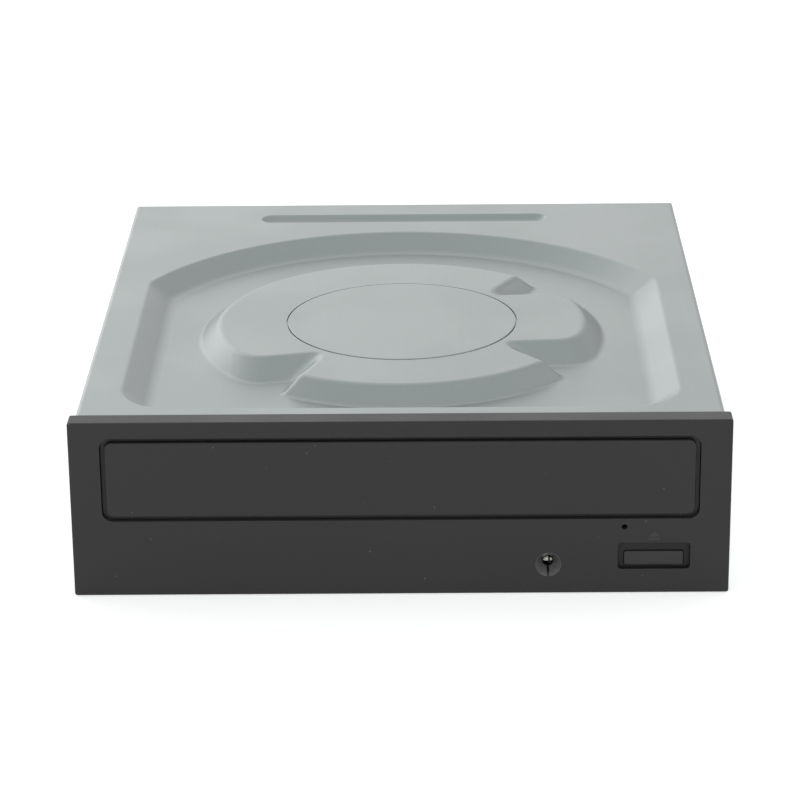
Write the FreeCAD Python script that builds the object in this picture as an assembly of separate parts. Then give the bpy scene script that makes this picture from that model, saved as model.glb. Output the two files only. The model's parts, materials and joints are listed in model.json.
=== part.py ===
import FreeCAD, Part
import math
import os

# Half-height disc drive: steel case, plastic bezel, sliding tray and loader.
# Millimetres, X to the right seen from the front, Y to the back, Z up.
# The origin is the middle of the bottom of the whole drive.

V = FreeCAD.Vector

# Outer sizes
BODY_WIDTH = 146.0
BODY_HEIGHT = 41.3
BODY_DEPTH = 160.0
BEZEL_LAP = 1.25
BEZEL_OVER = 0.35
BEZEL_DEPTH = 5.0
SHEET = 0.8

# Disc and tray
DISC_SETBACK = 69.0
DISC_WELL_RADIUS = 61.0
SMALL_WELL_RADIUS = 41.0
TRAY_KEPT = 30.0
TRAY_INSET = 9.5
TRAY_RAIL = 2.0
TRAY_WALL = 1.6
WINDOW_HALF = 22.0
DOOR_OVER = 2.7
DOOR_HEIGHT = 18.0
DOOR_GAP = 1.05
DOOR_RIM = 1.3
DOOR_SLIDE_GAP = 0.15
CAP_WIDTH = 13.5
CAP_HEIGHT = 3.5
CAP_GAP = 0.1
BUTTON_POCKET = 1.1
BUTTON_PROUD = 0.45

# Stamping of the cover
RECESS_DEPTH = 4.0
RECESS_LIP = 4.8
RECESS_RUN = 6.0
ARCH_OVER = 6.7
FRONT_CORNER = 13.0
REAR_CORNER = 8.5
ISLAND_RADIUS = 44.3
ISLAND_RUN = 4.7
SCOOPS = ((-129.0, 1), (-34.0, -1), (42.0, 1))
SCOOP_REACH = 27.5
SCOOP_RUN = 7.5
SCOOP_WALL = 3.0
SCOOP_WIDE = 38.0
SCOOP_STEEP = 18.0
BEAD_LENGTH = 76.5
BEAD_WIDTH = 6.7
BEAD_DEPTH = 1.6
CAP_RADIUS = 27.7

# Loader
GEAR_SETBACK = 26.0
RACK_MODULE = 1.0
PINION_TEETH = 16
WHEEL_MODULE = 0.8
WHEEL_TEETH = 42
PULLEY_PINION_TEETH = 14
BACKLASH = 0.14
RACK_INSET = 9.5
PULLEY_RADIUS = 12.0
MOTOR_PULLEY_RADIUS = 3.5
BELT_SPAN = 38.6
MOTOR_RADIUS = 12.2
BELT = 1.2
CAM_TRAVEL = 15.0
PIVOT_INSET = 16.0

# Pickup
LENS_HOME = 23.0
ROD_RADIUS = 1.5
ROD_X = 25.0
SCREW_X = 33.0
TURNTABLE_RADIUS = 16.5
CONE_RADIUS = 7.4

# Mounting holes of the half-height standard
HOLE_FIRST = 47.4
HOLE_PITCH = 79.25
HOLE_LOW = 10.0
HOLE_RISE = 11.84
HOLE_INSET = 3.15
TAP_RADIUS = 1.25

# Fits
FACE_GAP = 0.1
RUN_FIT = 0.05
SLIDE_GAP = 0.3
FREE_GAP = 0.5

# Planes that follow from the sizes above
BODY_HALF = BODY_WIDTH / 2
BEZEL_WIDTH = BODY_WIDTH + 2 * BEZEL_LAP
BEZEL_HEIGHT = BODY_HEIGHT + 2 * BEZEL_OVER
FRONT = -(BEZEL_DEPTH + BODY_DEPTH) / 2
BODY_FRONT = FRONT + BEZEL_DEPTH
BODY_BACK = BODY_FRONT + BODY_DEPTH
BODY_BOTTOM = BEZEL_OVER
BODY_TOP = BODY_BOTTOM + BODY_HEIGHT
PAN_FLOOR = BODY_BOTTOM + SHEET
PAN_BACK = BODY_BACK - SHEET - FACE_GAP
COVER_UNDER = BODY_TOP - RECESS_DEPTH - SHEET
DISC_Y = FRONT + DISC_SETBACK
RECESS_HALF = 0.8767 * BODY_HALF
ARCH_RADIUS = RECESS_HALF + ARCH_OVER
ARCH_BACK = DISC_Y + ARCH_RADIUS
BEAD_Y = ARCH_BACK + 0.486 * (BODY_BACK - ARCH_BACK)
TRAY_HALF = BODY_HALF - TRAY_INSET
TRAY_TRAVEL = BODY_DEPTH - TRAY_KEPT
DOOR_WIDTH = 2 * (TRAY_HALF + DOOR_OVER)
HOLE_BOTTOM_SPAN = BODY_WIDTH - 2 * HOLE_INSET
LIFT_DROP = 0.1937 * BODY_HEIGHT
TRAY_TOP = COVER_UNDER - 3.85
DISC_FLOOR = TRAY_TOP - 3.4
SMALL_FLOOR = DISC_FLOOR - 1.2
TRAY_UNDER = SMALL_FLOOR - TRAY_WALL
DISC_PLANE = TRAY_TOP - 0.1
BUTTON_X = BODY_HALF - 15.85
BUTTON_Z = BODY_BOTTOM + 0.2 * BODY_HEIGHT
LED_X = BUTTON_X - 23.85
LED_Z = BUTTON_Z - 1.55
DECK_BOTTOM = BUTTON_Z + 4.4
DECK_TOP = DECK_BOTTOM + 1.5
PLATE_TOP = DISC_PLANE - 13.3
PLATE_BOTTOM = PLATE_TOP - 1.5
SEAM = BODY_BOTTOM + 0.65 * BODY_HEIGHT
FLANGE = BODY_TOP - SEAM - SLIDE_GAP
WALL_INNER = TRAY_HALF + TRAY_RAIL + 0.4
WALL_OUTER = WALL_INNER + 2.0
RAIL_Z0 = TRAY_TOP - 5.5
RAIL_Z1 = RAIL_Z0 + 2.0
TRAY_FRONT = FRONT + 4.0
TRAY_BACK = BODY_BACK - 9.0
CROSSBAR_FRONT = TRAY_BACK - 10.0
OPENING_HALF = DOOR_WIDTH / 2 + DOOR_GAP
DOOR_MID = TRAY_TOP - 4.8
OPENING_HALF_HEIGHT = DOOR_HEIGHT / 2 + DOOR_GAP
CAP_LOW = BUTTON_Z - 2.1
PINHOLE_X = BUTTON_X - 6.75
PINHOLE_Z = DOOR_MID - OPENING_HALF_HEIGHT - 1.95
PULLEY_Z0 = DECK_TOP + FREE_GAP
PULLEY_Z1 = PULLEY_Z0 + 3.0
WHEEL_Z0 = PULLEY_Z1 + FREE_GAP
WHEEL_Z1 = WHEEL_Z0 + 3.0
RACK_Z0 = WHEEL_Z1 + 0.8
PINION_Z1 = TRAY_UNDER - 0.8
GEAR_Y = FRONT + GEAR_SETBACK
RACK_PITCH_X = TRAY_HALF - RACK_INSET
GEAR_X = RACK_PITCH_X - RACK_MODULE * PINION_TEETH / 2
PULLEY_X = GEAR_X - WHEEL_MODULE * (WHEEL_TEETH + PULLEY_PINION_TEETH) / 2
MOTOR_X = PULLEY_X - BELT_SPAN
PIVOT_Y = BODY_BACK - PIVOT_INSET
PIVOT_Z = PLATE_BOTTOM
CAM_Y0 = FRONT + 44.0
CAM_Y1 = CAM_Y0 + 2.0
LIFT_FRONT = CAM_Y1 + 4.0
LIFT_HALF = 47.5
LIFT_BAR = 3.0
LIFT_Z0 = PLATE_BOTTOM - 3.5
LIFT_Z1 = PLATE_TOP
LIFT_PIN_X = 26.0
LIFT_PIN_Z = LIFT_Z1 - 2.0
LIFT_PIN_RADIUS = 1.5
CAM_Z0 = LIFT_PIN_Z - LIFT_DROP * 1.6
CAM_Z1 = LIFT_PIN_Z + 3.2
PLATE_HALF = LIFT_HALF - LIFT_BAR - 0.7
PLATE_FRONT = LIFT_FRONT + LIFT_BAR + 1.0
PLATE_BACK = PIVOT_Y - 3.5
DAMPER_X = PLATE_HALF - 5.3
DAMPER_YS = (PLATE_FRONT + 4.7, PLATE_BACK - 4.7)
SLED_FRONT = DISC_Y + LENS_HOME - 7.0
SLED_LENGTH = 19.5
SLED_TRAVEL = PLATE_BACK - 6.0 - SLED_FRONT - SLED_LENGTH
SLED_HALF = ROD_X - 5.0
SLED_TOP = TRAY_UNDER - 0.8
SLED_Z0 = PLATE_BOTTOM - 1.6
LENS_Y = DISC_Y + LENS_HOME
ROD_Z = PLATE_TOP + 2.8
SCREW_Z = PLATE_TOP + 2.1
BOARD_Z0 = PAN_FLOOR + 1.85
BOARD_Z1 = BOARD_Z0 + 1.6
BOARD_FRONT = DISC_Y + 15.5
BOARD_BACK = BODY_BACK - 4.5
BOARD_HALF = WALL_INNER - 7.4
LEG_X = WALL_OUTER - 4.0
LEG_YS = (GEAR_Y + 5.0, BODY_BACK - 13.0)
PANEL_Z0 = PAN_FLOOR + 2.85
PANEL_Z1 = PANEL_Z0 + 1.6
SATA_WIDTH = 42.8
SATA_X0 = BOARD_HALF - SATA_WIDTH - 1.7
SATA_Z0 = BOARD_Z1
SATA_HEIGHT = 7.8
CAP_TOP = BODY_TOP + 0.1
CAP_THICK = 0.5
CAP_SEAT = CAP_TOP - CAP_THICK
WELL_FLOOR = BODY_TOP - 2.9
CLAMP_BOTTOM = TRAY_TOP + 0.6


# Basic solids
def box(x0, x1, y0, y1, z0, z1):
    return Part.makeBox(x1 - x0, y1 - y0, z1 - z0, V(x0, y0, z0))


def post(x, y, z0, z1, radius):
    return Part.makeCylinder(radius, z1 - z0, V(x, y, z0))


def rod_x(y, z, x0, x1, radius):
    return Part.makeCylinder(radius, x1 - x0, V(x0, y, z), V(1, 0, 0))


def rod_y(x, z, y0, y1, radius):
    return Part.makeCylinder(radius, y1 - y0, V(x, y0, z), V(0, 1, 0))


def cone(x, y, z0, z1, r0, r1):
    return Part.makeCone(r0, r1, z1 - z0, V(x, y, z0))


def cone_y(x, z, y0, y1, r0, r1):
    return Part.makeCone(r0, r1, y1 - y0, V(x, y0, z), V(0, 1, 0))


def tube(x, y, z0, z1, outer, inner):
    return post(x, y, z0, z1, outer).cut(post(x, y, z0, z1, inner))


def prism(points, direction):
    return Part.Face(Part.makePolygon(points + points[:1])).extrude(direction)


def line(a, b):
    return Part.LineSegment(a, b).toShape()


def arc(a, middle, b):
    return Part.Arc(a, middle, b).toShape()


def union(shapes):
    return shapes[0].fuse(shapes[1:]).removeSplitter()


def group(shapes):
    return Part.makeCompound(shapes)


def both_sides(shape):
    return [shape, shape.mirror(V(0, 0, 0), V(1, 0, 0))]


def flat_edges(shape, z):
    found = []
    for edge in shape.Edges:
        room = edge.BoundBox
        if abs(room.ZMin - z) < 1e-4 and abs(room.ZMax - z) < 1e-4:
            found.append(edge)
    return found


def edges_along(shape, axis):
    found = []
    for edge in shape.Edges:
        if edge.Curve.TypeId != "Part::GeomLine":
            continue
        if abs(abs(edge.Curve.Direction.dot(axis)) - 1) < 1e-6:
            found.append(edge)
    return found


def round_block(x0, x1, y0, y1, z0, z1, radius, axis):
    block = box(x0, x1, y0, y1, z0, z1)
    return block.makeFillet(radius, edges_along(block, axis))


def tapered_block(x_mid, z_mid, y0, y1, half0, half1, radius):
    # A window through a front wall, with its size (half width, half height)
    # given at y0 and at y1.
    wires = []
    for y, half in ((y0, half0), (y1, half1)):
        block = round_block(x_mid - half[0], x_mid + half[0], y, y + 1,
                            z_mid - half[1], z_mid + half[1], radius, V(0, 1, 0))
        near = min(block.Faces, key=lambda face: face.CenterOfMass.y)
        wires.append(near.OuterWire)
    return Part.makeLoft(wires, True, True)


# Stamped top cover
def recess_outline(inset, z):
    half = RECESS_HALF - inset
    front = BODY_FRONT + RECESS_LIP + inset
    arch = ARCH_RADIUS - inset
    corner = FRONT_CORNER - inset
    blend = REAR_CORNER - inset
    blend_x = half - blend
    rise = math.sqrt((arch - blend) ** 2 - blend_x ** 2)
    blend_y = DISC_Y + rise
    reach = arch / (arch - blend)
    turn = math.atan2(rise, blend_x) / 2
    lean = corner * (1 - math.sqrt(0.5))

    def at(x, y):
        return V(x, y, z)

    right = at(blend_x * reach, DISC_Y + rise * reach)
    left = at(-blend_x * reach, DISC_Y + rise * reach)
    swing_x = blend_x + blend * math.cos(turn)
    swing_y = blend_y + blend * math.sin(turn)
    low = front + corner
    edges = [
        line(at(corner - half, front), at(half - corner, front)),
        arc(at(half - corner, front), at(half - lean, front + lean), at(half, low)),
        line(at(half, low), at(half, blend_y)),
        arc(at(half, blend_y), at(swing_x, swing_y), right),
        arc(right, at(0, DISC_Y + arch), left),
        arc(left, at(-swing_x, swing_y), at(-half, blend_y)),
        line(at(-half, blend_y), at(-half, low)),
        arc(at(-half, low), at(lean - half, front + lean), at(corner - half, front)),
    ]
    return Part.Wire(edges)


def scoop(top, degrees, hand):
    # A wedge bitten out of the island, its point towards the cap. One side slopes gently, over
    # SCOOP_RUN, and the other is steep, over SCOOP_WALL; hand says which is which.
    wide = math.radians(degrees - hand * SCOOP_WIDE)
    steep = math.radians(degrees + hand * SCOOP_STEEP)
    spread = math.sin(math.radians(SCOOP_WIDE + SCOOP_STEEP))
    point = V(math.cos(math.radians(degrees)), math.sin(math.radians(degrees)), 0) * SCOOP_REACH
    along_wide = V(math.cos(wide), math.sin(wide), 0)
    along_steep = V(math.cos(steep), math.sin(steep), 0)
    wires = []
    for z, share in ((top, 0), (top - RECESS_DEPTH, 1)):
        shift = along_wide * SCOOP_WALL + along_steep * SCOOP_RUN
        tip = point + shift * (share / spread) + V(0, DISC_Y, z)
        ends = [tip + way * ISLAND_RADIUS for way in (along_wide, along_steep)]
        wires.append(Part.makePolygon([tip] + ends + [tip]))
    return Part.makeLoft(wires, True, True)


def scoop_edges(hill, side):
    # Sloping edges of the scoops: side 1 is the gentle side, -1 the steep one, 0 the point.
    found = []
    for edge in hill.Edges:
        if edge.BoundBox.ZLength < 1:
            continue
        spot = edge.valueAt((edge.FirstParameter + edge.LastParameter) / 2) - V(0, DISC_Y, 0)
        near, hand = min(SCOOPS, key=lambda row: abs(spin_between(spot, row[0])))
        at_point = math.hypot(spot.x, spot.y) < ISLAND_RADIUS - 4
        place = 0 if at_point else (1 if hand * spin_between(spot, near) < 0 else -1)
        if place == side:
            found.append(edge)
    return found


def spin_between(spot, degrees):
    turn = math.degrees(math.atan2(spot.y, spot.x)) - degrees
    return (turn + 180) % 360 - 180


def island(top):
    floor = top - RECESS_DEPTH
    hill = cone(0, DISC_Y, floor, top, ISLAND_RADIUS + ISLAND_RUN, ISLAND_RADIUS)
    hill = hill.cut([scoop(top, degrees, hand) for degrees, hand in SCOOPS]).removeSplitter()
    for side, radius in ((1, 13.0), (-1, 2.6), (0, 3.5)):
        hill = hill.makeFillet(radius, scoop_edges(hill, side))
    return hill.makeFillet(2.4, flat_edges(hill, top))


def bead(top):
    radius = (BEAD_WIDTH ** 2 / 4 + BEAD_DEPTH ** 2) / (2 * BEAD_DEPTH)
    z = top - BEAD_DEPTH + radius
    reach = BEAD_LENGTH / 2 - BEAD_WIDTH / 2
    ends = [Part.makeSphere(radius, V(x, BEAD_Y, z)) for x in (-reach, reach)]
    return rod_x(BEAD_Y, z, -reach, reach, radius).fuse(ends)


def cover_form(half, front, back, top, floor):
    block = box(-half, half, front, back, floor, top)
    hollow = Part.makeLoft([recess_outline(0, top), recess_outline(RECESS_RUN, top - RECESS_DEPTH)],
                           True, True)
    hollow = hollow.makeFillet(4.0, flat_edges(hollow, top - RECESS_DEPTH))
    block = block.cut(hollow)
    rim = []
    for edge in flat_edges(block, top):
        room = edge.BoundBox
        if room.XMin > 1 - half and room.XMax < half - 1 and room.YMin > front + 1 and room.YMax < back - 1:
            rim.append(edge)
    block = block.makeFillet(1.5, rim)
    block = block.fuse(island(top)).removeSplitter()
    foot = [edge for edge in flat_edges(block, top - RECESS_DEPTH)
            if math.hypot(edge.CenterOfMass.x, edge.CenterOfMass.y - DISC_Y) < ISLAND_RADIUS + ISLAND_RUN + 1]
    block = block.makeFillet(2.0, foot)
    return block.cut(bead(top))


def make_top_cover():
    outer = cover_form(BODY_HALF, BODY_FRONT, BODY_BACK, BODY_TOP, BODY_TOP - FLANGE)
    bends = []
    for edge in flat_edges(outer, BODY_TOP):
        room = edge.BoundBox
        at_side = room.XMin > BODY_HALF - 0.01 or room.XMax < 0.01 - BODY_HALF
        at_end = room.YMin > BODY_BACK - 0.01 or room.YMax < BODY_FRONT + 0.01
        if at_side or at_end:
            bends.append(edge)
    outer = outer.makeFillet(1.0, bends)
    inner = cover_form(BODY_HALF - SHEET, BODY_FRONT + SHEET, BODY_BACK - SHEET,
                       BODY_TOP - SHEET, BODY_TOP - FLANGE - 1)
    cover = outer.cut(inner)
    step = BODY_TOP - CAP_SEAT
    fall = CAP_SEAT - WELL_FLOOR
    cover = cover.cut(post(0, DISC_Y, CAP_SEAT, BODY_TOP + 1, CAP_RADIUS + 0.35))
    dish_outer = cone(0, DISC_Y, WELL_FLOOR, CAP_SEAT, 24.0, 24.0 + fall)
    dish_back = cone(0, DISC_Y, WELL_FLOOR - SHEET, CAP_SEAT - step, 24.6, 25.0 + fall)
    cover = cover.fuse(dish_back).cut(dish_outer)
    cover = cover.cut(post(0, DISC_Y, WELL_FLOOR - 2, WELL_FLOOR + 1, 17.2))
    mouth = box(-OPENING_HALF - 2, OPENING_HALF + 2, BODY_FRONT - 1, BODY_FRONT + SHEET + 0.2,
                BODY_TOP - FLANGE - 1, BODY_TOP - 2.4)
    relief = box(BODY_HALF - 1.6, BODY_HALF + 1, BODY_BACK - 1.6, BODY_BACK + 1,
                 BODY_TOP - FLANGE - 1, BODY_TOP - 1.6)
    return cover.cut([mouth] + both_sides(relief)).removeSplitter()


def make_clamp_cap():
    plate = post(0, DISC_Y, CAP_SEAT, CAP_TOP, CAP_RADIUS)
    return plate.makeFillet(0.15, flat_edges(plate, CAP_TOP))


# Bottom cover
def hole_spots():
    first = BODY_FRONT + HOLE_FIRST
    return (first, first + HOLE_PITCH)


def pan_profile(y0, y1, hollow):
    low = SEAM - 1.0
    step = SHEET + FACE_GAP
    top = SEAM + 6.5
    outside = [(BODY_HALF, BODY_BOTTOM), (BODY_HALF, low), (BODY_HALF - step, SEAM), (BODY_HALF - step, top)]
    inside = [(BODY_HALF - step - SHEET, top), (BODY_HALF - step - SHEET, SEAM - 0.2),
              (BODY_HALF - SHEET, low - 0.2), (BODY_HALF - SHEET, PAN_FLOOR)]
    half = outside + inside if hollow else outside
    points = [V(x, y0, z) for x, z in half]
    points += [V(-x, y0, z) for x, z in reversed(half)]
    return prism(points, V(0, y1 - y0, 0))


def make_bottom_cover():
    pan = pan_profile(BODY_FRONT, PAN_BACK, True)
    corners = [edge for edge in edges_along(pan, V(0, 1, 0)) if edge.BoundBox.ZMax < BODY_BOTTOM + 0.01]
    pan = pan.makeFillet(0.7, corners)
    pan = pan.fuse(pan_profile(PAN_BACK - SHEET, PAN_BACK, False))
    adds = []
    cuts = []
    for y in hole_spots():
        for side in (-1, 1):
            x = side * HOLE_BOTTOM_SPAN / 2
            adds.append(post(x, y, PAN_FLOOR, PAN_FLOOR + 1.0, 2.0))
            cuts.append(post(x, y, BODY_BOTTOM - 1, PAN_FLOOR + 2, TAP_RADIUS))
            for z in (BODY_BOTTOM + HOLE_LOW, BODY_BOTTOM + HOLE_LOW + HOLE_RISE):
                wall = side * (BODY_HALF - SHEET)
                burr = wall - side * 1.2
                adds.append(rod_x(y, z, min(wall, burr), max(wall, burr), 2.1))
                ends = sorted((side * (BODY_HALF + 1), burr - side))
                cuts.append(rod_x(y, z, ends[0], ends[1], TAP_RADIUS))
    for x, y in board_spots():
        adds.append(tube(x, y, PAN_FLOOR, BOARD_Z0, 2.6, 1.0))
    for x, y in panel_spots():
        adds.append(post(x, y, PAN_FLOOR, PANEL_Z0, 2.6))
    for y in LEG_YS:
        for side in (-1, 1):
            cuts.append(post(side * LEG_X, y, BODY_BOTTOM - 1, PAN_FLOOR + 1, 1.5))
            cuts.append(cone(side * LEG_X, y, BODY_BOTTOM, PAN_FLOOR, 2.7, 1.5))
    for x in (-30.0, 30.0):
        groove = round_block(x - 3.5, x + 3.5, DISC_Y - 22, DISC_Y + 8, BODY_BOTTOM - 1, BODY_BOTTOM + 0.5,
                             3.4, V(0, 0, 1))
        ridge = round_block(x - 4.2, x + 4.2, DISC_Y - 22.7, DISC_Y + 8.7, PAN_FLOOR, PAN_FLOOR + 0.5,
                            4.1, V(0, 0, 1))
        adds.append(ridge)
        cuts.append(groove)
    for x in BEZEL_FEET:
        cuts.append(box(x - 4.3, x + 4.3, BODY_FRONT + 4.5, BODY_FRONT + 8.2, BODY_BOTTOM - 1, PAN_FLOOR + 1))
    for side in (-1, 1):
        ends = sorted((side * (BODY_HALF + 1), side * (BODY_HALF - SHEET - 0.3)))
        cuts.append(box(ends[0], ends[1], BODY_FRONT + 4.5, BODY_FRONT + 8.2, HOOK_Z0 - 0.4, HOOK_Z1 + 0.4))
    cuts.append(box(-BODY_HALF, BODY_HALF, BODY_FRONT - 1, BODY_FRONT + SHEET + SLIDE_GAP,
                    SEAM - 0.6, BODY_TOP))
    cuts.append(box(SATA_X0 - 0.4, SATA_X0 + SATA_WIDTH + 0.4, PAN_BACK - 5, PAN_BACK + 1,
                    SATA_Z0 - 2.2, SATA_Z0 + SATA_HEIGHT + 0.4))
    for k in range(5):
        x = -20.0 - 9.0 * k
        cuts.append(round_block(x - 3, x + 3, PAN_BACK - 5, PAN_BACK + 1, SATA_Z0 + 2.0, SATA_Z0 + 4.0,
                                0.95, V(0, 1, 0)))
    return pan.fuse(adds).cut(cuts).removeSplitter()


def case_screw(x, y):
    head = cone(x, y, BODY_BOTTOM + 0.1, PAN_FLOOR, 2.5, 1.4)
    shank = post(x, y, PAN_FLOOR, PAN_FLOOR + 5.5, 1.2)
    return head.fuse(shank).removeSplitter()


def make_case_screws():
    return group([case_screw(side * LEG_X, y) for y in LEG_YS for side in (-1, 1)])


# Bezel
BEZEL_FEET = (-40.0, 12.0)
HOOK_Z0 = BODY_BOTTOM + 0.24 * BODY_HEIGHT
HOOK_Z1 = HOOK_Z0 + 8.0
BEZEL_WALL = 2.4


def make_front_bezel():
    half = BEZEL_WIDTH / 2
    block = box(-half, half, FRONT, BODY_FRONT, 0, BEZEL_HEIGHT)
    block = block.makeFillet(0.6, edges_along(block, V(0, 1, 0)))
    front_edges = [edge for edge in block.Edges if edge.BoundBox.YMax < FRONT + 0.001]
    block = block.makeFillet(0.35, front_edges)
    cavity = round_block(2 - half, half - 2, FRONT + BEZEL_WALL, BODY_FRONT + 1, 2, BEZEL_HEIGHT - 2,
                         1.0, V(0, 1, 0))
    frame = round_block(-OPENING_HALF - 1.5, OPENING_HALF + 1.5, FRONT + 1, BODY_FRONT,
                        DOOR_MID - OPENING_HALF_HEIGHT - 1.5, DOOR_MID + OPENING_HALF_HEIGHT + 1.5,
                        3.4, V(0, 1, 0))
    opening = round_block(-OPENING_HALF, OPENING_HALF, FRONT - 1, BODY_FRONT + 1,
                          DOOR_MID - OPENING_HALF_HEIGHT, DOOR_MID + OPENING_HALF_HEIGHT, 2.4, V(0, 1, 0))
    adds = [frame]
    adds.append(rod_y(LED_X, LED_Z, FRONT + 1, BODY_FRONT, 3.6))
    adds.append(rod_y(PINHOLE_X, PINHOLE_Z, FRONT + 1, BODY_FRONT, 1.8))
    for x in BEZEL_FEET:
        adds.append(box(x - 4, x + 4, FRONT + 1, BODY_FRONT + 8, PAN_FLOOR + 0.2, PAN_FLOOR + 1.5))
        barb = [V(x - 4, BODY_FRONT + 5, PAN_FLOOR + 0.3), V(x - 4, BODY_FRONT + 5, BODY_BOTTOM + 0.2),
                V(x - 4, BODY_FRONT + 8, PAN_FLOOR + 0.3)]
        adds.append(prism(barb, V(8, 0, 0)))
    wall = BODY_HALF - SHEET
    hook = box(wall - 1.6, wall - 0.3, FRONT + 1, BODY_FRONT + 8, HOOK_Z0, HOOK_Z1)
    tooth = [V(wall - 0.4, BODY_FRONT + 5, HOOK_Z0), V(BODY_HALF - 0.2, BODY_FRONT + 5, HOOK_Z0),
             V(wall - 0.4, BODY_FRONT + 8, HOOK_Z0)]
    adds += both_sides(hook.fuse(prism(tooth, V(0, 0, HOOK_Z1 - HOOK_Z0))))
    cuts = [opening]
    cuts.append(cone_y(LED_X, LED_Z, FRONT, FRONT + 2.5, 2.95, 1.3))
    cuts.append(box(LED_X - 0.35, LED_X + 0.35, FRONT + 0.5, FRONT + 3.2, LED_Z - 2.35, LED_Z))
    cuts.append(rod_y(LED_X, LED_Z, FRONT + 2.4, BODY_FRONT + 1, 1.65))
    cuts.append(rod_y(PINHOLE_X, PINHOLE_Z, FRONT - 1, BODY_FRONT + 1, 0.65))
    cuts.append(tapered_block(BUTTON_X, BUTTON_Z + 0.5, FRONT, FRONT + BUTTON_POCKET,
                              (8.2, 3.25), (8.05, 3.1), 0.9))
    reach = CAP_WIDTH / 2 + CAP_GAP
    cuts.append(round_block(BUTTON_X - reach, BUTTON_X + reach, FRONT + 1, FRONT + 4,
                            CAP_LOW - CAP_GAP, CAP_LOW + CAP_HEIGHT + CAP_GAP, 0.7, V(0, 1, 0)))
    return block.cut(cavity).fuse(adds).cut(cuts).removeSplitter()


def make_tray_door():
    half = DOOR_WIDTH / 2
    top = DOOR_MID + DOOR_HEIGHT / 2
    low = DOOR_MID - DOOR_HEIGHT / 2
    rim = DOOR_GAP - DOOR_SLIDE_GAP
    plate = round_block(-half - rim, half + rim, FRONT + DOOR_RIM, TRAY_FRONT, low - rim, top + rim,
                        2.1, V(0, 1, 0))
    panel = round_block(-half, half, FRONT, FRONT + DOOR_RIM + 0.5, low, top, 1.7, V(0, 1, 0))
    face = [edge for edge in panel.Edges if edge.BoundBox.YMax < FRONT + 0.001]
    door = panel.makeFillet(0.4, face).fuse(plate)
    back = round_block(2 - half, half - 2, FRONT + 2.2, TRAY_FRONT + 1, low + 2, top - 2, 1.0, V(0, 1, 0))
    ribs = [box(x - 0.6, x + 0.6, FRONT + 2, TRAY_FRONT, low + 1, top - 1) for x in (-44, -22, 0, 22, 44)]
    clips = []
    for x in (-33.0, 33.0):
        clips.append(box(x - 4, x + 4, FRONT + 2, TRAY_FRONT + 3.2, DOOR_MID - 0.7, DOOR_MID + 0.7))
        clips.append(box(x - 4, x + 4, TRAY_FRONT + TRAY_WALL + 0.2, TRAY_FRONT + 3.2,
                         DOOR_MID + 0.6, DOOR_MID + 1.2))
    return door.cut(back).fuse(ribs + clips).removeSplitter()


def make_eject_button():
    front = FRONT + BUTTON_POCKET - BUTTON_PROUD
    cap = round_block(BUTTON_X - CAP_WIDTH / 2, BUTTON_X + CAP_WIDTH / 2, front, FRONT + 3,
                      CAP_LOW, CAP_LOW + CAP_HEIGHT, 0.6, V(0, 1, 0))
    face = [edge for edge in cap.Edges if edge.BoundBox.YMax < front + 0.001]
    cap = cap.makeFillet(0.3, face)
    lip = box(BUTTON_X - 7.6, BUTTON_X + 7.6, FRONT + BEZEL_WALL + 0.15, FRONT + BEZEL_WALL + 1.1,
              BUTTON_Z - 2.4, BUTTON_Z + 2.4)
    stem = rod_y(BUTTON_X, BUTTON_Z, FRONT + 3, SWITCH_FRONT - 0.9, 1.6)
    return cap.fuse([lip, stem]).removeSplitter()


# Front circuit board
SWITCH_FRONT = BODY_FRONT + 3.2
PANEL_FRONT = BODY_FRONT + 2.2
PANEL_BACK = PANEL_FRONT + 14.0
PANEL_X0 = LED_X - 8.3
PANEL_X1 = WALL_INNER - 0.8


def panel_spots():
    return ((PANEL_X0 + 4, PANEL_BACK - 4), (PANEL_X1 - 4.5, PANEL_BACK - 4))


def make_front_board():
    board = box(PANEL_X0, PANEL_X1, PANEL_FRONT, PANEL_BACK, PANEL_Z0, PANEL_Z1)
    return board.makeFillet(0.8, edges_along(board, V(0, 0, 1)))


def make_eject_switch():
    body = box(BUTTON_X - 3.1, BUTTON_X + 3.1, SWITCH_FRONT, SWITCH_FRONT + 3.4, PANEL_Z1, BUTTON_Z + 3.1)
    return body.cut(rod_y(BUTTON_X, BUTTON_Z, SWITCH_FRONT - 1, SWITCH_FRONT + 2, 1.35))


def make_switch_plunger():
    return rod_y(BUTTON_X, BUTTON_Z, SWITCH_FRONT - 0.9, SWITCH_FRONT + 0.8, 1.25)


def make_activity_led():
    tip = PANEL_FRONT - 3.15
    dome = Part.makeSphere(1.5, V(LED_X, tip, LED_Z))
    barrel = rod_y(LED_X, LED_Z, tip, PANEL_FRONT, 1.5)
    collar = rod_y(LED_X, LED_Z, PANEL_FRONT - 1, PANEL_FRONT, 1.9)
    return dome.fuse([barrel, collar]).removeSplitter()


def make_led_leads():
    leads = []
    for x in (LED_X - 1.27, LED_X + 1.27):
        end = PANEL_FRONT + 2.8
        level = box(x - 0.25, x + 0.25, PANEL_FRONT, end, LED_Z - 0.25, LED_Z + 0.25)
        down = box(x - 0.25, x + 0.25, end - 0.5, end, PANEL_Z1, LED_Z)
        leads.append(level.fuse(down).removeSplitter())
    return group(leads)


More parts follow.
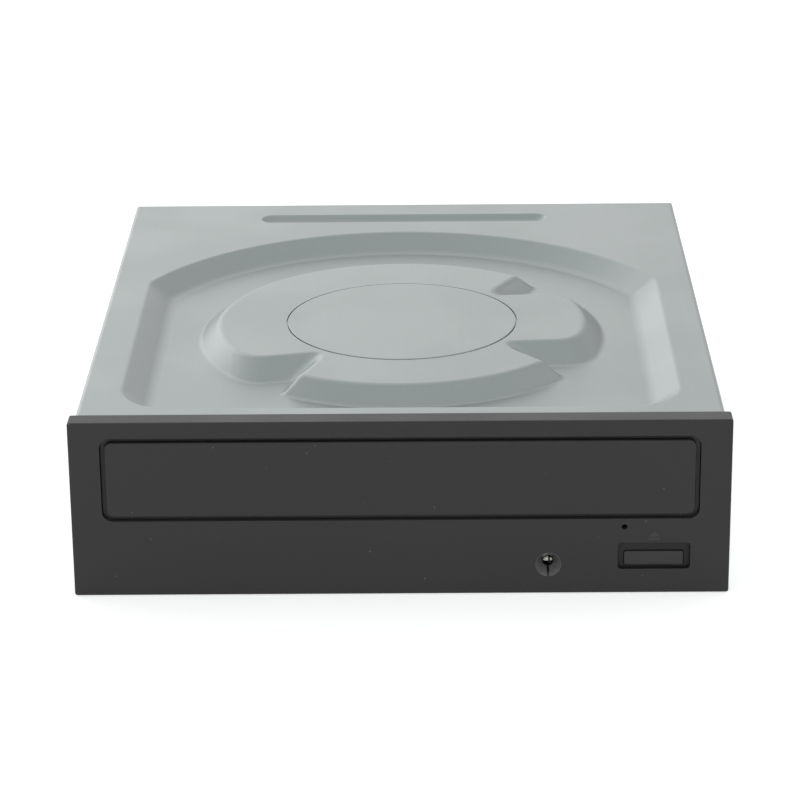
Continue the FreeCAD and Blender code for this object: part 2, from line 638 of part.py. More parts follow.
# Plastic chassis
def make_main_chassis():
    y0 = BODY_FRONT + 1.5
    y1 = TRAY_BACK + 2.0
    top = RAIL_Z1 + 3.3
    side = box(WALL_INNER, WALL_OUTER, y0, y1, PAN_FLOOR + 1, top)
    low_ledge = box(TRAY_HALF + 0.6, WALL_INNER + 0.1, y0, y1, RAIL_Z0 - SLIDE_GAP - 1.5, RAIL_Z0 - SLIDE_GAP)
    high_ledge = box(TRAY_HALF + 0.6, WALL_INNER + 0.1, y0, y1 - 14, RAIL_Z1 + SLIDE_GAP,
                     RAIL_Z1 + SLIDE_GAP + 1.5)
    side_deck = box(LIFT_HALF + 4.5, WALL_INNER + 0.1, CAM_Y1 + FREE_GAP, PIVOT_Y + 4.5,
                    DECK_BOTTOM, DECK_TOP)
    bearing = box(LIFT_HALF + 0.5, LIFT_HALF + 5, PIVOT_Y - 4.5, PIVOT_Y + 4.5,
                  min(DECK_BOTTOM, PIVOT_Z - 4.0), PIVOT_Z + 3.4)
    halves = []
    for shape in (side, low_ledge, high_ledge, side_deck, bearing):
        halves += both_sides(shape)
    for y in LEG_YS:
        halves += both_sides(post(LEG_X, y, PAN_FLOOR, DECK_BOTTOM + 0.5, 4.0))
    deck = box(-WALL_INNER - 0.1, WALL_INNER + 0.1, y0, CAM_Y0 - 0.6, DECK_BOTTOM, DECK_TOP)
    apron = box(-WALL_INNER - 0.1, WALL_INNER + 0.1, y0, y0 + 2, BUTTON_Z + 3.6, DECK_TOP + 3.0)
    rear = box(-WALL_INNER - 0.1, WALL_INNER + 0.1, y1 - 3, y1, SATA_Z0 + SATA_HEIGHT + 0.8, RACK_Z0 - 1)
    adds = halves + [apron, rear]
    adds.append(post(GEAR_X, GEAR_Y, DECK_TOP - 0.5, PINION_Z1 - 0.5, 2.0))
    adds.append(post(PULLEY_X, GEAR_Y, DECK_TOP - 0.5, WHEEL_Z1, 1.6))
    for x in CAM_STUDS:
        adds.append(post(x, CAM_Y0 - 3.1, DECK_TOP - 0.5, DECK_TOP + 1.9, 1.0))
        adds.append(post(x, CAM_Y0 - 3.1, DECK_TOP + 1.9, DECK_TOP + 2.7, 1.5))
    cuts = [post(MOTOR_X, GEAR_Y, DECK_BOTTOM - 1, DECK_TOP + 1, 4.0)]
    for side_x in (-8.0, 8.0):
        cuts.append(post(MOTOR_X + side_x, GEAR_Y, DECK_BOTTOM - 1, DECK_TOP + 1, 1.2))
    cuts.append(rod_y(PINHOLE_X, PINHOLE_Z, y0 - 1, y0 + 3, 1.2))
    cuts.append(rod_x(PIVOT_Y, PIVOT_Z, -LIFT_HALF - 6, LIFT_HALF + 6, 2.0 + RUN_FIT))
    for y in LEG_YS:
        cuts += both_sides(post(LEG_X, y, PAN_FLOOR - 1, PAN_FLOOR + 8, 1.25))
    return deck.fuse(adds).cut(cuts).removeSplitter()


# Gears
PRESSURE = math.radians(20)


def spur_gear(x, y, z0, z1, teeth, module, turn):
    # A tooth points along +X when turn is 0; turn is in tooth pitches.
    pitch = teeth * module / 2
    base = pitch * math.cos(PRESSURE)
    tip = pitch + 0.85 * module
    root = pitch - 1.15 * module
    half = (math.pi * module / 2 - BACKLASH) / (2 * pitch)

    def involute(radius):
        swing = math.acos(min(1.0, base / radius))
        return math.tan(swing) - swing

    def at(radius, angle):
        return V(x + radius * math.cos(angle), y + radius * math.sin(angle), z0)

    start = max(base, root)
    waist = (start + tip) / 2
    spread = {radius: half + involute(pitch) - involute(radius) for radius in (start, waist, tip)}
    step = 2 * math.pi / teeth
    edges = []
    for k in range(teeth):
        middle = (k + turn) * step
        a0 = middle - spread[start]
        a1 = middle + spread[start]
        a2 = middle + step - spread[start]
        if start > root:
            edges.append(line(at(root, a0), at(start, a0)))
        edges.append(arc(at(start, a0), at(waist, middle - spread[waist]), at(tip, middle - spread[tip])))
        edges.append(arc(at(tip, middle - spread[tip]), at(tip, middle), at(tip, middle + spread[tip])))
        edges.append(arc(at(tip, middle + spread[tip]), at(waist, middle + spread[waist]), at(start, a1)))
        if start > root:
            edges.append(line(at(start, a1), at(root, a1)))
        edges.append(arc(at(root, a1), at(root, (a1 + a2) / 2), at(root, a2)))
    return Part.Face(Part.Wire(edges)).extrude(V(0, 0, z1 - z0))


def make_tray_gear():
    pinion = spur_gear(GEAR_X, GEAR_Y, WHEEL_Z1, PINION_Z1, PINION_TEETH, RACK_MODULE, 0)
    wheel = spur_gear(GEAR_X, GEAR_Y, WHEEL_Z0, WHEEL_Z1, WHEEL_TEETH, WHEEL_MODULE, 0)
    hub = post(GEAR_X, GEAR_Y, DECK_TOP + SLIDE_GAP, WHEEL_Z0, 3.2)
    ring = tube(GEAR_X, GEAR_Y, WHEEL_Z0 + 0.9, WHEEL_Z1, 13.8, RACK_MODULE * PINION_TEETH / 2 + 1.2)
    hollow = ring.cut(tube(GEAR_X, GEAR_Y, WHEEL_Z0, WHEEL_Z1 - 0.9, 20, 0.1))
    bore = post(GEAR_X, GEAR_Y, DECK_TOP, PINION_Z1 + 1, 2.0 + RUN_FIT)
    return wheel.cut(hollow).fuse([pinion, hub]).cut(bore).removeSplitter()


def pulley_wheel(x, z0, z1, radius):
    groove = radius - 1.0
    mid = (z0 + z1) / 2
    body = post(x, GEAR_Y, z0, z1, radius)
    ring = tube(x, GEAR_Y, mid - BELT / 2 - 0.1, mid + BELT / 2 + 0.1, radius + 1, groove)
    return body.cut(ring)


def make_pulley_gear():
    pulley = pulley_wheel(PULLEY_X, PULLEY_Z0, PULLEY_Z1, PULLEY_RADIUS)
    turn = 0.5 - (WHEEL_TEETH % 2) / 2
    pinion = spur_gear(PULLEY_X, GEAR_Y, PULLEY_Z1, WHEEL_Z1 + 0.3, PULLEY_PINION_TEETH, WHEEL_MODULE, turn)
    bore = post(PULLEY_X, GEAR_Y, DECK_TOP, WHEEL_Z1 + 1, 1.6 + RUN_FIT)
    return pulley.fuse(pinion).cut(bore).removeSplitter()


def make_motor_pulley():
    pulley = pulley_wheel(MOTOR_X, PULLEY_Z0, PULLEY_Z1, MOTOR_PULLEY_RADIUS)
    return pulley.cut(post(MOTOR_X, GEAR_Y, DECK_TOP, PULLEY_Z1 + 1, 1.0))


def make_motor_shaft():
    return post(MOTOR_X, GEAR_Y, DECK_BOTTOM - 3, PULLEY_Z1 + 0.5, 1.0)


def make_loading_motor():
    can = post(MOTOR_X, GEAR_Y, PAN_FLOOR + SLIDE_GAP, DECK_BOTTOM, MOTOR_RADIUS)
    can = can.makeFillet(0.8, flat_edges(can, PAN_FLOOR + SLIDE_GAP))
    bush = post(MOTOR_X, GEAR_Y, DECK_BOTTOM - 1, DECK_TOP - 0.4, 3.0)
    well = post(MOTOR_X, GEAR_Y, DECK_BOTTOM - 3.5, DECK_TOP, 1.0 + RUN_FIT)
    taps = [post(MOTOR_X + x, GEAR_Y, DECK_BOTTOM - 2, DECK_BOTTOM + 1, 0.9) for x in (-8.0, 8.0)]
    return can.fuse(bush).cut([well] + taps).removeSplitter()


def make_motor_screws():
    screws = []
    for x in (MOTOR_X - 8.0, MOTOR_X + 8.0):
        head = post(x, GEAR_Y, DECK_TOP, DECK_TOP + 0.4, 1.9)
        screws.append(head.fuse(post(x, GEAR_Y, DECK_BOTTOM - 1.8, DECK_TOP, 0.85)).removeSplitter())
    return group(screws)


def belt_loop(grow, z):
    big = PULLEY_RADIUS - 1.0 + RUN_FIT + grow
    small = MOTOR_PULLEY_RADIUS - 1.0 + RUN_FIT + grow
    gap = PULLEY_X - MOTOR_X
    lean = math.asin((big - small) / gap)
    up_x = -math.sin(lean)
    up_y = math.cos(lean)

    def at(x, radius, flip):
        return V(x + radius * up_x, GEAR_Y + flip * radius * up_y, z)

    edges = [
        line(at(MOTOR_X, small, 1), at(PULLEY_X, big, 1)),
        arc(at(PULLEY_X, big, 1), V(PULLEY_X + big, GEAR_Y, z), at(PULLEY_X, big, -1)),
        line(at(PULLEY_X, big, -1), at(MOTOR_X, small, -1)),
        arc(at(MOTOR_X, small, -1), V(MOTOR_X - small, GEAR_Y, z), at(MOTOR_X, small, 1)),
    ]
    return Part.Face(Part.Wire(edges)).extrude(V(0, 0, BELT))


def make_drive_belt():
    z = (PULLEY_Z0 + PULLEY_Z1 - BELT) / 2
    return belt_loop(BELT, z).cut(belt_loop(0, z))


# Cam slider and lift
CAM_X0 = -46.0
CAM_X1 = PINHOLE_X - 6.4
CAM_STUDS = (-36.0, 2.0)


def pin_drop():
    return LIFT_DROP * (PIVOT_Y - (CAM_Y0 + CAM_Y1) / 2) / (PIVOT_Y - DISC_Y)


def cam_slot(x):
    radius = LIFT_PIN_RADIUS + 0.3
    fall = pin_drop()
    steep = math.atan2(fall, CAM_TRAVEL)
    over = 0.4
    top = V(x + over * math.cos(steep), CAM_Y0 - 1, LIFT_PIN_Z + over * math.sin(steep))
    low = V(x - CAM_TRAVEL - over * math.cos(steep), CAM_Y0 - 1, LIFT_PIN_Z - fall - over * math.sin(steep))
    side = V(math.sin(steep) * radius, 0, -math.cos(steep) * radius)
    run = prism([top + side, top - side, low - side, low + side], V(0, 4, 0))
    ends = [rod_y(p.x, p.z, CAM_Y0 - 1, CAM_Y1 + 1, radius) for p in (top, low)]
    return run.fuse(ends)


def make_cam_slider():
    wall = box(CAM_X0, CAM_X1, CAM_Y0, CAM_Y1, CAM_Z0, CAM_Z1)
    foot_z = DECK_TOP + SLIDE_GAP
    foot = box(CAM_X0, 19.0, CAM_Y0 - 5.4, CAM_Y0 + 0.5, foot_z, foot_z + 1.3)
    tip = PINHOLE_X + 0.1
    ramp = [V(CAM_X1 - 1, CAM_Y0, foot_z), V(tip, CAM_Y0 - 4.5, foot_z), V(tip, CAM_Y1, foot_z),
            V(CAM_X1 - 1, CAM_Y1, foot_z)]
    shape = wall.fuse([foot, prism(ramp, V(0, 0, 3.0))])
    cuts = [cam_slot(-LIFT_PIN_X), cam_slot(LIFT_PIN_X)]
    for x in CAM_STUDS:
        cuts.append(box(x - CAM_TRAVEL, x, CAM_Y0 - 4.4, CAM_Y0 - 1.8, foot_z - 1, foot_z + 2))
        cuts.append(post(x, CAM_Y0 - 3.1, foot_z - 1, foot_z + 2, 1.3))
        cuts.append(post(x - CAM_TRAVEL, CAM_Y0 - 3.1, foot_z - 1, foot_z + 2, 1.3))
    return shape.cut(cuts).removeSplitter()


def make_lift_frame():
    back = PIVOT_Y + 2.5
    outer = box(-LIFT_HALF, LIFT_HALF, LIFT_FRONT, back, LIFT_Z0, LIFT_Z1)
    inner = box(LIFT_BAR - LIFT_HALF, LIFT_HALF - LIFT_BAR, LIFT_FRONT + LIFT_BAR, back - 4.5,
                LIFT_Z0 - 1, LIFT_Z1 + 1)
    adds = [rod_x(PIVOT_Y, PIVOT_Z, -LIFT_HALF - 4, LIFT_HALF + 4, 2.0)]
    cuts = []
    for side in (-1, 1):
        adds.append(rod_y(side * LIFT_PIN_X, LIFT_PIN_Z, CAM_Y0 - 0.4, LIFT_FRONT + 1, LIFT_PIN_RADIUS))
        for y in DAMPER_YS:
            ends = sorted((side * (DAMPER_X - 4.4), side * (LIFT_HALF - 1)))
            adds.append(box(ends[0], ends[1], y - 4.4, y + 4.4, LIFT_Z0, PLATE_BOTTOM - 1.5))
            adds.append(post(side * DAMPER_X, y, LIFT_Z0 - 2, LIFT_Z0 + 0.5, 3.2))
            cuts.append(post(side * DAMPER_X, y, LIFT_Z0 - 3, PLATE_BOTTOM, 1.2))
    return outer.cut(inner).fuse(adds).cut(cuts).removeSplitter()


def make_damper_grommets():
    dampers = []
    for y in DAMPER_YS:
        for x in (-DAMPER_X, DAMPER_X):
            foot = post(x, y, PLATE_BOTTOM - 1.5, PLATE_BOTTOM, 4.2)
            waist = post(x, y, PLATE_BOTTOM, PLATE_TOP, 2.8)
            head = post(x, y, PLATE_TOP, PLATE_TOP + 1.5, 4.2)
            bore = post(x, y, PLATE_BOTTOM - 2, PLATE_TOP + 2, 1.5)
            dampers.append(foot.fuse([waist, head]).cut(bore).removeSplitter())
    return group(dampers)


def make_damper_screws():
    screws = []
    for y in DAMPER_YS:
        for x in (-DAMPER_X, DAMPER_X):
            head = post(x, y, PLATE_TOP + 1.5, PLATE_TOP + 2.7, 3.4)
            shank = post(x, y, LIFT_Z0 - 1.5, PLATE_TOP + 1.5, 1.15)
            screws.append(head.fuse(shank).removeSplitter())
    return group(screws)


# Traverse: plate, spindle motor, rods and feed motor
FEED_Y0 = DAMPER_YS[0] + 5.5
FEED_LENGTH = 12.0
FEED_RADIUS = 4.7
SCREW_BACK = DAMPER_YS[1] - 8.0
ROD_FRONT = DISC_Y - 8.0
ROD_BACK = PLATE_BACK - 1.5


def make_traverse_plate():
    plate = round_block(-PLATE_HALF, PLATE_HALF, PLATE_FRONT, PLATE_BACK, PLATE_BOTTOM, PLATE_TOP,
                        2.0, V(0, 0, 1))
    path = round_block(-SLED_HALF - 1, SLED_HALF + 1, SLED_FRONT - 1,
                       SLED_FRONT + SLED_LENGTH + SLED_TRAVEL + 3, PLATE_BOTTOM - 1, PLATE_TOP + 1,
                       2.0, V(0, 0, 1))
    motor = box(-SCREW_X - FEED_RADIUS - 0.4, FEED_RADIUS - SCREW_X + 0.4, FEED_Y0 - 0.4,
                FEED_Y0 + FEED_LENGTH + 0.4, PLATE_BOTTOM - 1, PLATE_TOP + 1)
    cuts = [path, motor, post(0, DISC_Y, PLATE_BOTTOM - 1, PLATE_TOP + 1, 6.0)]
    for y in DAMPER_YS:
        for x in (-DAMPER_X, DAMPER_X):
            cuts.append(post(x, y, PLATE_BOTTOM - 1, PLATE_TOP + 1, 2.85))
    for x, y in spindle_spots():
        cuts.append(post(x, y, PLATE_BOTTOM - 1, PLATE_TOP + 1, 0.95))
    return plate.cut(cuts).removeSplitter()


def spindle_spots():
    spots = []
    for degrees in (90, 210, 330):
        angle = math.radians(degrees)
        spots.append((11.0 * math.cos(angle), DISC_Y - 11.0 * math.sin(angle)))
    return spots


def make_spindle_base():
    base = post(0, DISC_Y, PLATE_TOP, PLATE_TOP + 1.0, 13.5)
    sleeve = post(0, DISC_Y, PLATE_TOP - 1.4, PLATE_TOP + 6.0, 3.2)
    cuts = [post(0, DISC_Y, PLATE_TOP - 0.6, PLATE_TOP + 7, 1.0 + RUN_FIT)]
    for x, y in spindle_spots():
        cuts.append(post(x, y, PLATE_TOP - 1, PLATE_TOP + 2, 0.95))
    return base.fuse(sleeve).cut(cuts).removeSplitter()


def make_spindle_stator():
    ring = tube(0, DISC_Y, PLATE_TOP + 2.6, PLATE_TOP + 5.4, 5.2, 3.25)
    arms = []
    for k in range(9):
        arm = box(4.6, 10.2, DISC_Y - 0.9, DISC_Y + 0.9, PLATE_TOP + 2.9, PLATE_TOP + 5.1)
        coil = box(5.6, 9.2, DISC_Y - 1.35, DISC_Y + 1.35, PLATE_TOP + 2.5, PLATE_TOP + 5.5)
        for shape in (arm, coil):
            shape.rotate(V(0, DISC_Y, 0), V(0, 0, 1), 40 * k)
            arms.append(shape)
    return ring.fuse(arms).removeSplitter()


def make_spindle_screws():
    screws = []
    for x, y in spindle_spots():
        head = post(x, y, PLATE_TOP + 1.0, PLATE_TOP + 1.7, 1.6)
        screws.append(head.fuse(post(x, y, PLATE_BOTTOM, PLATE_TOP + 1.0, 0.9)).removeSplitter())
    return group(screws)


def make_rotor():
    z0 = PLATE_TOP + 2.0
    z1 = PLATE_TOP + 8.6
    can = post(0, DISC_Y, z0, z1, 12.8).cut(post(0, DISC_Y, z0 - 1, z1 - 0.8, 12.0))
    shaft = post(0, DISC_Y, PLATE_TOP - 0.4, z1, 1.0)
    return can.fuse(shaft).removeSplitter()


def make_turntable():
    z0 = PLATE_TOP + 8.6
    plate = post(0, DISC_Y, DISC_PLANE - 2.6, DISC_PLANE - 0.5, TURNTABLE_RADIUS)
    hub = post(0, DISC_Y, z0, DISC_PLANE - 2.6, 8.0)
    return plate.fuse(hub).removeSplitter()


def make_turntable_pad():
    return tube(0, DISC_Y, DISC_PLANE - 0.5, DISC_PLANE, TURNTABLE_RADIUS, 11.0)


def make_centering_cone():
    foot = post(0, DISC_Y, DISC_PLANE - 0.5, DISC_PLANE + 0.6, CONE_RADIUS)
    crown = cone(0, DISC_Y, DISC_PLANE + 0.6, DISC_PLANE + 2.0, CONE_RADIUS, CONE_RADIUS - 1.6)
    slots = []
    for k in range(3):
        slot = box(3.4, CONE_RADIUS + 1, DISC_Y - 0.3, DISC_Y + 0.3, DISC_PLANE, DISC_PLANE + 3)
        slot.rotate(V(0, DISC_Y, 0), V(0, 0, 1), 120 * k)
        slots.append(slot)
    seat = post(0, DISC_Y, DISC_PLANE + 0.6, DISC_PLANE + 3, 3.0)
    return foot.fuse(crown).cut(slots + [seat]).removeSplitter()


def make_hub_magnet():
    return post(0, DISC_Y, DISC_PLANE + 0.6, DISC_PLANE + 1.7, 2.95)


def make_guide_rods():
    return group([rod_y(x, ROD_Z, ROD_FRONT, ROD_BACK, ROD_RADIUS) for x in (-ROD_X, ROD_X)])


def make_rod_holders():
    holders = []
    for x in (-ROD_X, ROD_X):
        for y in (ROD_FRONT - 1.2, ROD_BACK - 2.0):
            block = box(x - 2.8, x + 2.8, y, y + 3.2, PLATE_TOP, ROD_Z + 2.3)
            holders.append(block.cut(rod_y(x, ROD_Z, ROD_FRONT - 0.1, ROD_BACK + 0.1, ROD_RADIUS + RUN_FIT)))
    return group(holders)


def make_feed_motor():
    can = rod_y(-SCREW_X, SCREW_Z, FEED_Y0, FEED_Y0 + FEED_LENGTH, FEED_RADIUS)
    tab = box(-SCREW_X - 5.6, 5.6 - SCREW_X, FEED_Y0 + FEED_LENGTH - 1, FEED_Y0 + FEED_LENGTH, PLATE_TOP,
              SCREW_Z + 2.5)
    shelf = box(-SCREW_X - 5.6, 5.6 - SCREW_X, FEED_Y0 + FEED_LENGTH, FEED_Y0 + FEED_LENGTH + 4,
                PLATE_TOP, PLATE_TOP + 0.5)
    well = rod_y(-SCREW_X, SCREW_Z, FEED_Y0 + 4, FEED_Y0 + FEED_LENGTH + 1, 0.8 + RUN_FIT)
    return can.fuse([tab, shelf]).cut(well).removeSplitter()


def make_screw_bearing():
    block = box(-SCREW_X - 2.6, 2.6 - SCREW_X, SCREW_BACK - 2, SCREW_BACK, PLATE_TOP, SCREW_Z + 2.2)
    return block.cut(rod_y(-SCREW_X, SCREW_Z, SCREW_BACK - 3, SCREW_BACK + 1, 0.8 + RUN_FIT))


def make_lead_screw():
    y0 = FEED_Y0 + FEED_LENGTH + 0.6
    thread = rod_y(-SCREW_X, SCREW_Z, y0, SCREW_BACK - 2.4, 1.4)
    ends = rod_y(-SCREW_X, SCREW_Z, FEED_Y0 + 4.5, SCREW_BACK - 0.3, 0.8)
    return thread.fuse(ends).removeSplitter()


# Pickup
def make_pickup_sled():
    y0 = SLED_FRONT
    y1 = SLED_FRONT + SLED_LENGTH
    body = box(-SLED_HALF, SLED_HALF, y0, y1, SLED_Z0, SLED_TOP - 1.2)
    arms = []
    for y in (y0 + 1.0, y1 - 7.0):
        arms.append(box(SLED_HALF - 1, ROD_X + 3.2, y, y + 6, ROD_Z - 2.3, SLED_TOP - 1.2))
    arms.append(box(-ROD_X - 3.0, 1 - SLED_HALF, y0 + 8, y0 + 13, ROD_Z - 2.3, SLED_TOP - 1.2))
    cuts = [rod_y(ROD_X, ROD_Z, y0 - 1, y1 + 1, ROD_RADIUS + RUN_FIT)]
    cuts.append(box(-ROD_X - 4, ROD_RADIUS - ROD_X + 0.4, y0 + 7, y0 + 14, ROD_Z - ROD_RADIUS - RUN_FIT,
                    ROD_Z + ROD_RADIUS + RUN_FIT))
    cuts.append(box(-12.5, 12.5, LENS_Y - 5.8, LENS_Y + 5.8, SLED_Z0 + 4.5, SLED_TOP))
    hollow = box(-SLED_HALF + 2, SLED_HALF - 2, LENS_Y + 7.8, y1 - 1.6, SLED_Z0 - 1, SLED_TOP - 3)
    notch = post(0, DISC_Y, SLED_Z0 - 1, SLED_TOP + 1, 14.6)
    return body.fuse(arms).cut(cuts + [hollow, notch]).removeSplitter()


def make_pickup_cover():
    y0 = LENS_Y + 6.2
    y1 = SLED_FRONT + SLED_LENGTH
    lid = box(-SLED_HALF, SLED_HALF, y0, y1, SLED_TOP - 1.2, SLED_TOP - 0.8)
    return lid.makeFillet(1.5, edges_along(lid, V(0, 0, 1)))


def make_laser_unit():
    y = SLED_FRONT + SLED_LENGTH
    can = rod_y(-9.0, SLED_Z0 + 5.5, y, y + 2.2, 2.8)
    prong = rod_y(9.0, SLED_Z0 + 5.5, y, y + 1.6, 2.2)
    return group([can, prong])


def make_feed_rack():
    y = SLED_FRONT + 6.0
    arm = box(1.7 - SCREW_X, -ROD_X - 3.0, y, y + 3.6, ROD_Z - 2.2, ROD_Z + 2.3)
    return arm.makeFillet(0.4, edges_along(arm, V(1, 0, 0)))


def make_magnet_yokes():
    y = LENS_Y
    z0 = SLED_Z0 + 4.5
    yokes = []
    for x in (-9.4, 9.4):
        yokes.append(box(x - 1.3, x + 1.3, y - 4.2, y + 4.2, z0, SLED_TOP - 1.0))
    return group(yokes)


def make_lens_holder():
    z0 = SLED_Z0 + 5.3
    body = box(-7.2, 7.2, LENS_Y - 4.4, LENS_Y + 4.4, z0, DISC_PLANE - 4.4)
    body = body.makeFillet(0.8, edges_along(body, V(0, 0, 1)))
    collar = post(0, LENS_Y, DISC_PLANE - 4.4, DISC_PLANE - 3.2, 3.3)
    seat = post(0, LENS_Y, DISC_PLANE - 4.0, DISC_PLANE, 2.4)
    return body.fuse(collar).cut(seat).removeSplitter()


def make_objective_lens():
    rim = post(0, LENS_Y, DISC_PLANE - 4.0, DISC_PLANE - 3.1, 2.35)
    ball = Part.makeSphere(3.2, V(0, LENS_Y, DISC_PLANE - 3.1 - 2.4))
    cap = ball.common(post(0, LENS_Y, DISC_PLANE - 3.1, DISC_PLANE, 2.2))
    return rim.fuse(cap).removeSplitter()


# Clamp under the cover
def make_clamp_puck():
    flange = post(0, DISC_Y, WELL_FLOOR, WELL_FLOOR + 1.5, 21.0)
    body = cone(0, DISC_Y, CLAMP_BOTTOM, WELL_FLOOR, 15.4, 16.6)
    cuts = [post(0, DISC_Y, CLAMP_BOTTOM - 1, DISC_PLANE + 3.3, 9.0)]
    cuts.append(post(0, DISC_Y, DISC_PLANE + 3.3, DISC_PLANE + 4.5, 7.6))
    cuts.append(tube(0, DISC_Y, WELL_FLOOR + 0.4, WELL_FLOOR + 2, 19.0, 9.5))
    return flange.fuse(body).cut(cuts).removeSplitter()


def make_clamp_plate():
    return post(0, DISC_Y, DISC_PLANE + 3.3, DISC_PLANE + 4.4, 7.55)


def make_clamp_pad():
    return tube(0, DISC_Y, CLAMP_BOTTOM - 0.3, CLAMP_BOTTOM, 15.0, 12.6)


# Disc tray
def tray_form(top):
    slab = box(-TRAY_HALF, TRAY_HALF, TRAY_FRONT, TRAY_BACK, top - 16, top)
    well = post(0, DISC_Y, top - (TRAY_TOP - DISC_FLOOR), top + 1, DISC_WELL_RADIUS)
    small = post(0, DISC_Y, top - (TRAY_TOP - SMALL_FLOOR), top + 1, SMALL_WELL_RADIUS)
    return slab.cut([well, small])


def make_disc_tray():
    solid = tray_form(TRAY_TOP)
    rim = [edge for edge in flat_edges(solid, TRAY_TOP) if edge.Curve.TypeId == "Part::GeomCircle"]
    solid = solid.makeFillet(0.6, rim)
    under = box(-TRAY_HALF + TRAY_WALL, TRAY_HALF - TRAY_WALL, TRAY_FRONT + TRAY_WALL, TRAY_BACK + 1,
                TRAY_TOP - 17, TRAY_TOP - TRAY_WALL)
    under = under.cut(post(0, DISC_Y, DISC_FLOOR - TRAY_WALL, TRAY_TOP, DISC_WELL_RADIUS + TRAY_WALL))
    under = under.cut(post(0, DISC_Y, SMALL_FLOOR - TRAY_WALL, TRAY_TOP, SMALL_WELL_RADIUS + TRAY_WALL))
    shell = solid.cut(under)
    skirt = RAIL_Z0 - 0.6
    hem = box(-TRAY_HALF - 1, TRAY_HALF + 1, TRAY_FRONT + TRAY_WALL, TRAY_BACK + 1, TRAY_TOP - 17, skirt)
    low = DOOR_MID - DOOR_HEIGHT / 2 + 2.2
    hem_front = box(-TRAY_HALF - 1, TRAY_HALF + 1, TRAY_FRONT - 1, TRAY_FRONT + 2, TRAY_TOP - 17, low)
    hem = hem.cut(post(0, DISC_Y, TRAY_UNDER, TRAY_TOP, SMALL_WELL_RADIUS + TRAY_WALL))
    shell = shell.cut([hem, hem_front])
    rail = box(TRAY_HALF - 0.5, TRAY_HALF + TRAY_RAIL, BODY_FRONT + 2, TRAY_BACK, RAIL_Z0, RAIL_Z1)
    adds = both_sides(rail) + [rack_bar(solid)]
    for x in (-50.0, -34.0, 34.0):
        web = box(x - 0.6, x + 0.6, TRAY_FRONT + 0.5, TRAY_BACK - 0.5, RAIL_Z0 - 0.6, TRAY_TOP)
        adds.append(web.common(solid))
    tabs = []
    for degrees in (28, 152, 208, 332):
        angle = math.radians(degrees)
        reach = DISC_WELL_RADIUS + 1.4
        tabs.append(post(reach * math.cos(angle), DISC_Y + reach * math.sin(angle),
                         TRAY_TOP - 0.9, TRAY_TOP, 2.6))
    shell = shell.fuse(adds + tabs)
    cuts = []
    window = box(-WINDOW_HALF, WINDOW_HALF, DISC_Y, CROSSBAR_FRONT, TRAY_TOP - 17, TRAY_TOP + 1)
    window = window.makeFillet(4.0, [edge for edge in edges_along(window, V(0, 0, 1))
                                     if edge.BoundBox.YMin > DISC_Y + 1])
    cuts.append(window)
    cuts.append(post(0, DISC_Y, TRAY_TOP - 17, TRAY_TOP + 1, WINDOW_HALF))
    for degrees in (225, 315):
        angle = math.radians(degrees)
        reach = DISC_WELL_RADIUS + 1
        cuts.append(post(reach * math.cos(angle), DISC_Y + reach * math.sin(angle),
                         DISC_FLOOR, TRAY_TOP + 1, 9.0))
    for x in (-33.0, 33.0):
        cuts.append(box(x - 4.3, x + 4.3, TRAY_FRONT - 1, TRAY_FRONT + TRAY_WALL + 0.1,
                        DOOR_MID - 0.9, DOOR_MID + 1.4))
        cuts.append(box(x - 4.3, x + 4.3, TRAY_FRONT + TRAY_WALL, TRAY_FRONT + 4,
                        DOOR_MID - 0.9, DOOR_MID + 1.5))
    tail = box(-WINDOW_HALF - 14, WINDOW_HALF + 14, CROSSBAR_FRONT, TRAY_BACK + 1, TRAY_TOP - 17,
               TRAY_TOP - TRAY_WALL - 0.1)
    return shell.cut(cuts + [tail]).removeSplitter()


def rack_bar(solid):
    # Teeth point to the gear at -X; a gap faces the gear's tooth at rest.
    pitch = math.pi * RACK_MODULE
    inner = RACK_PITCH_X + 1.2 * RACK_MODULE
    outer = RACK_PITCH_X - 0.85 * RACK_MODULE
    slope = math.tan(PRESSURE)
    half = (pitch / 2 - BACKLASH) / 2
    root = half + 1.2 * RACK_MODULE * slope
    tip = half - 0.85 * RACK_MODULE * slope
    z = RACK_Z0
    count = int((TRAY_TRAVEL + 16.0) / pitch)
    first = GEAR_Y - 2.5 * pitch
    points = [V(inner + 2.6, first - pitch, z), V(inner, first - pitch, z)]
    for k in range(count):
        y = first + k * pitch
        points += [V(inner, y - root, z), V(outer, y - tip, z), V(outer, y + tip, z), V(inner, y + root, z)]
    last = first + count * pitch
    points += [V(inner, last, z), V(inner + 2.6, last, z)]
    teeth = prism(points, V(0, 0, DISC_FLOOR - TRAY_WALL + 0.4 - z))
    spine = box(inner, inner + 2.6, first - pitch, TRAY_BACK - 1, z, TRAY_TOP)
    return teeth.fuse(spine.common(solid)).removeSplitter()


# Main circuit board
def board_spots():
    return ((-BOARD_HALF + 5, BOARD_FRONT + 5), (BOARD_HALF - 5, BOARD_FRONT + 5),
            (-BOARD_HALF + 5, BOARD_BACK - 16), (BOARD_HALF - 5, BOARD_BACK - 20))


def make_main_board():
    board = round_block(-BOARD_HALF, BOARD_HALF, BOARD_FRONT, BOARD_BACK, BOARD_Z0, BOARD_Z1, 2.0, V(0, 0, 1))
    return board.cut([post(x, y, BOARD_Z0 - 1, BOARD_Z1 + 1, 1.1) for x, y in board_spots()])


def make_board_screws():
    screws = []
    for x, y in board_spots():
        head = post(x, y, BOARD_Z1, BOARD_Z1 + 1.2, 2.2)
        screws.append(head.fuse(post(x, y, PAN_FLOOR + 0.3, BOARD_Z1, 0.95)).removeSplitter())
    return group(screws)


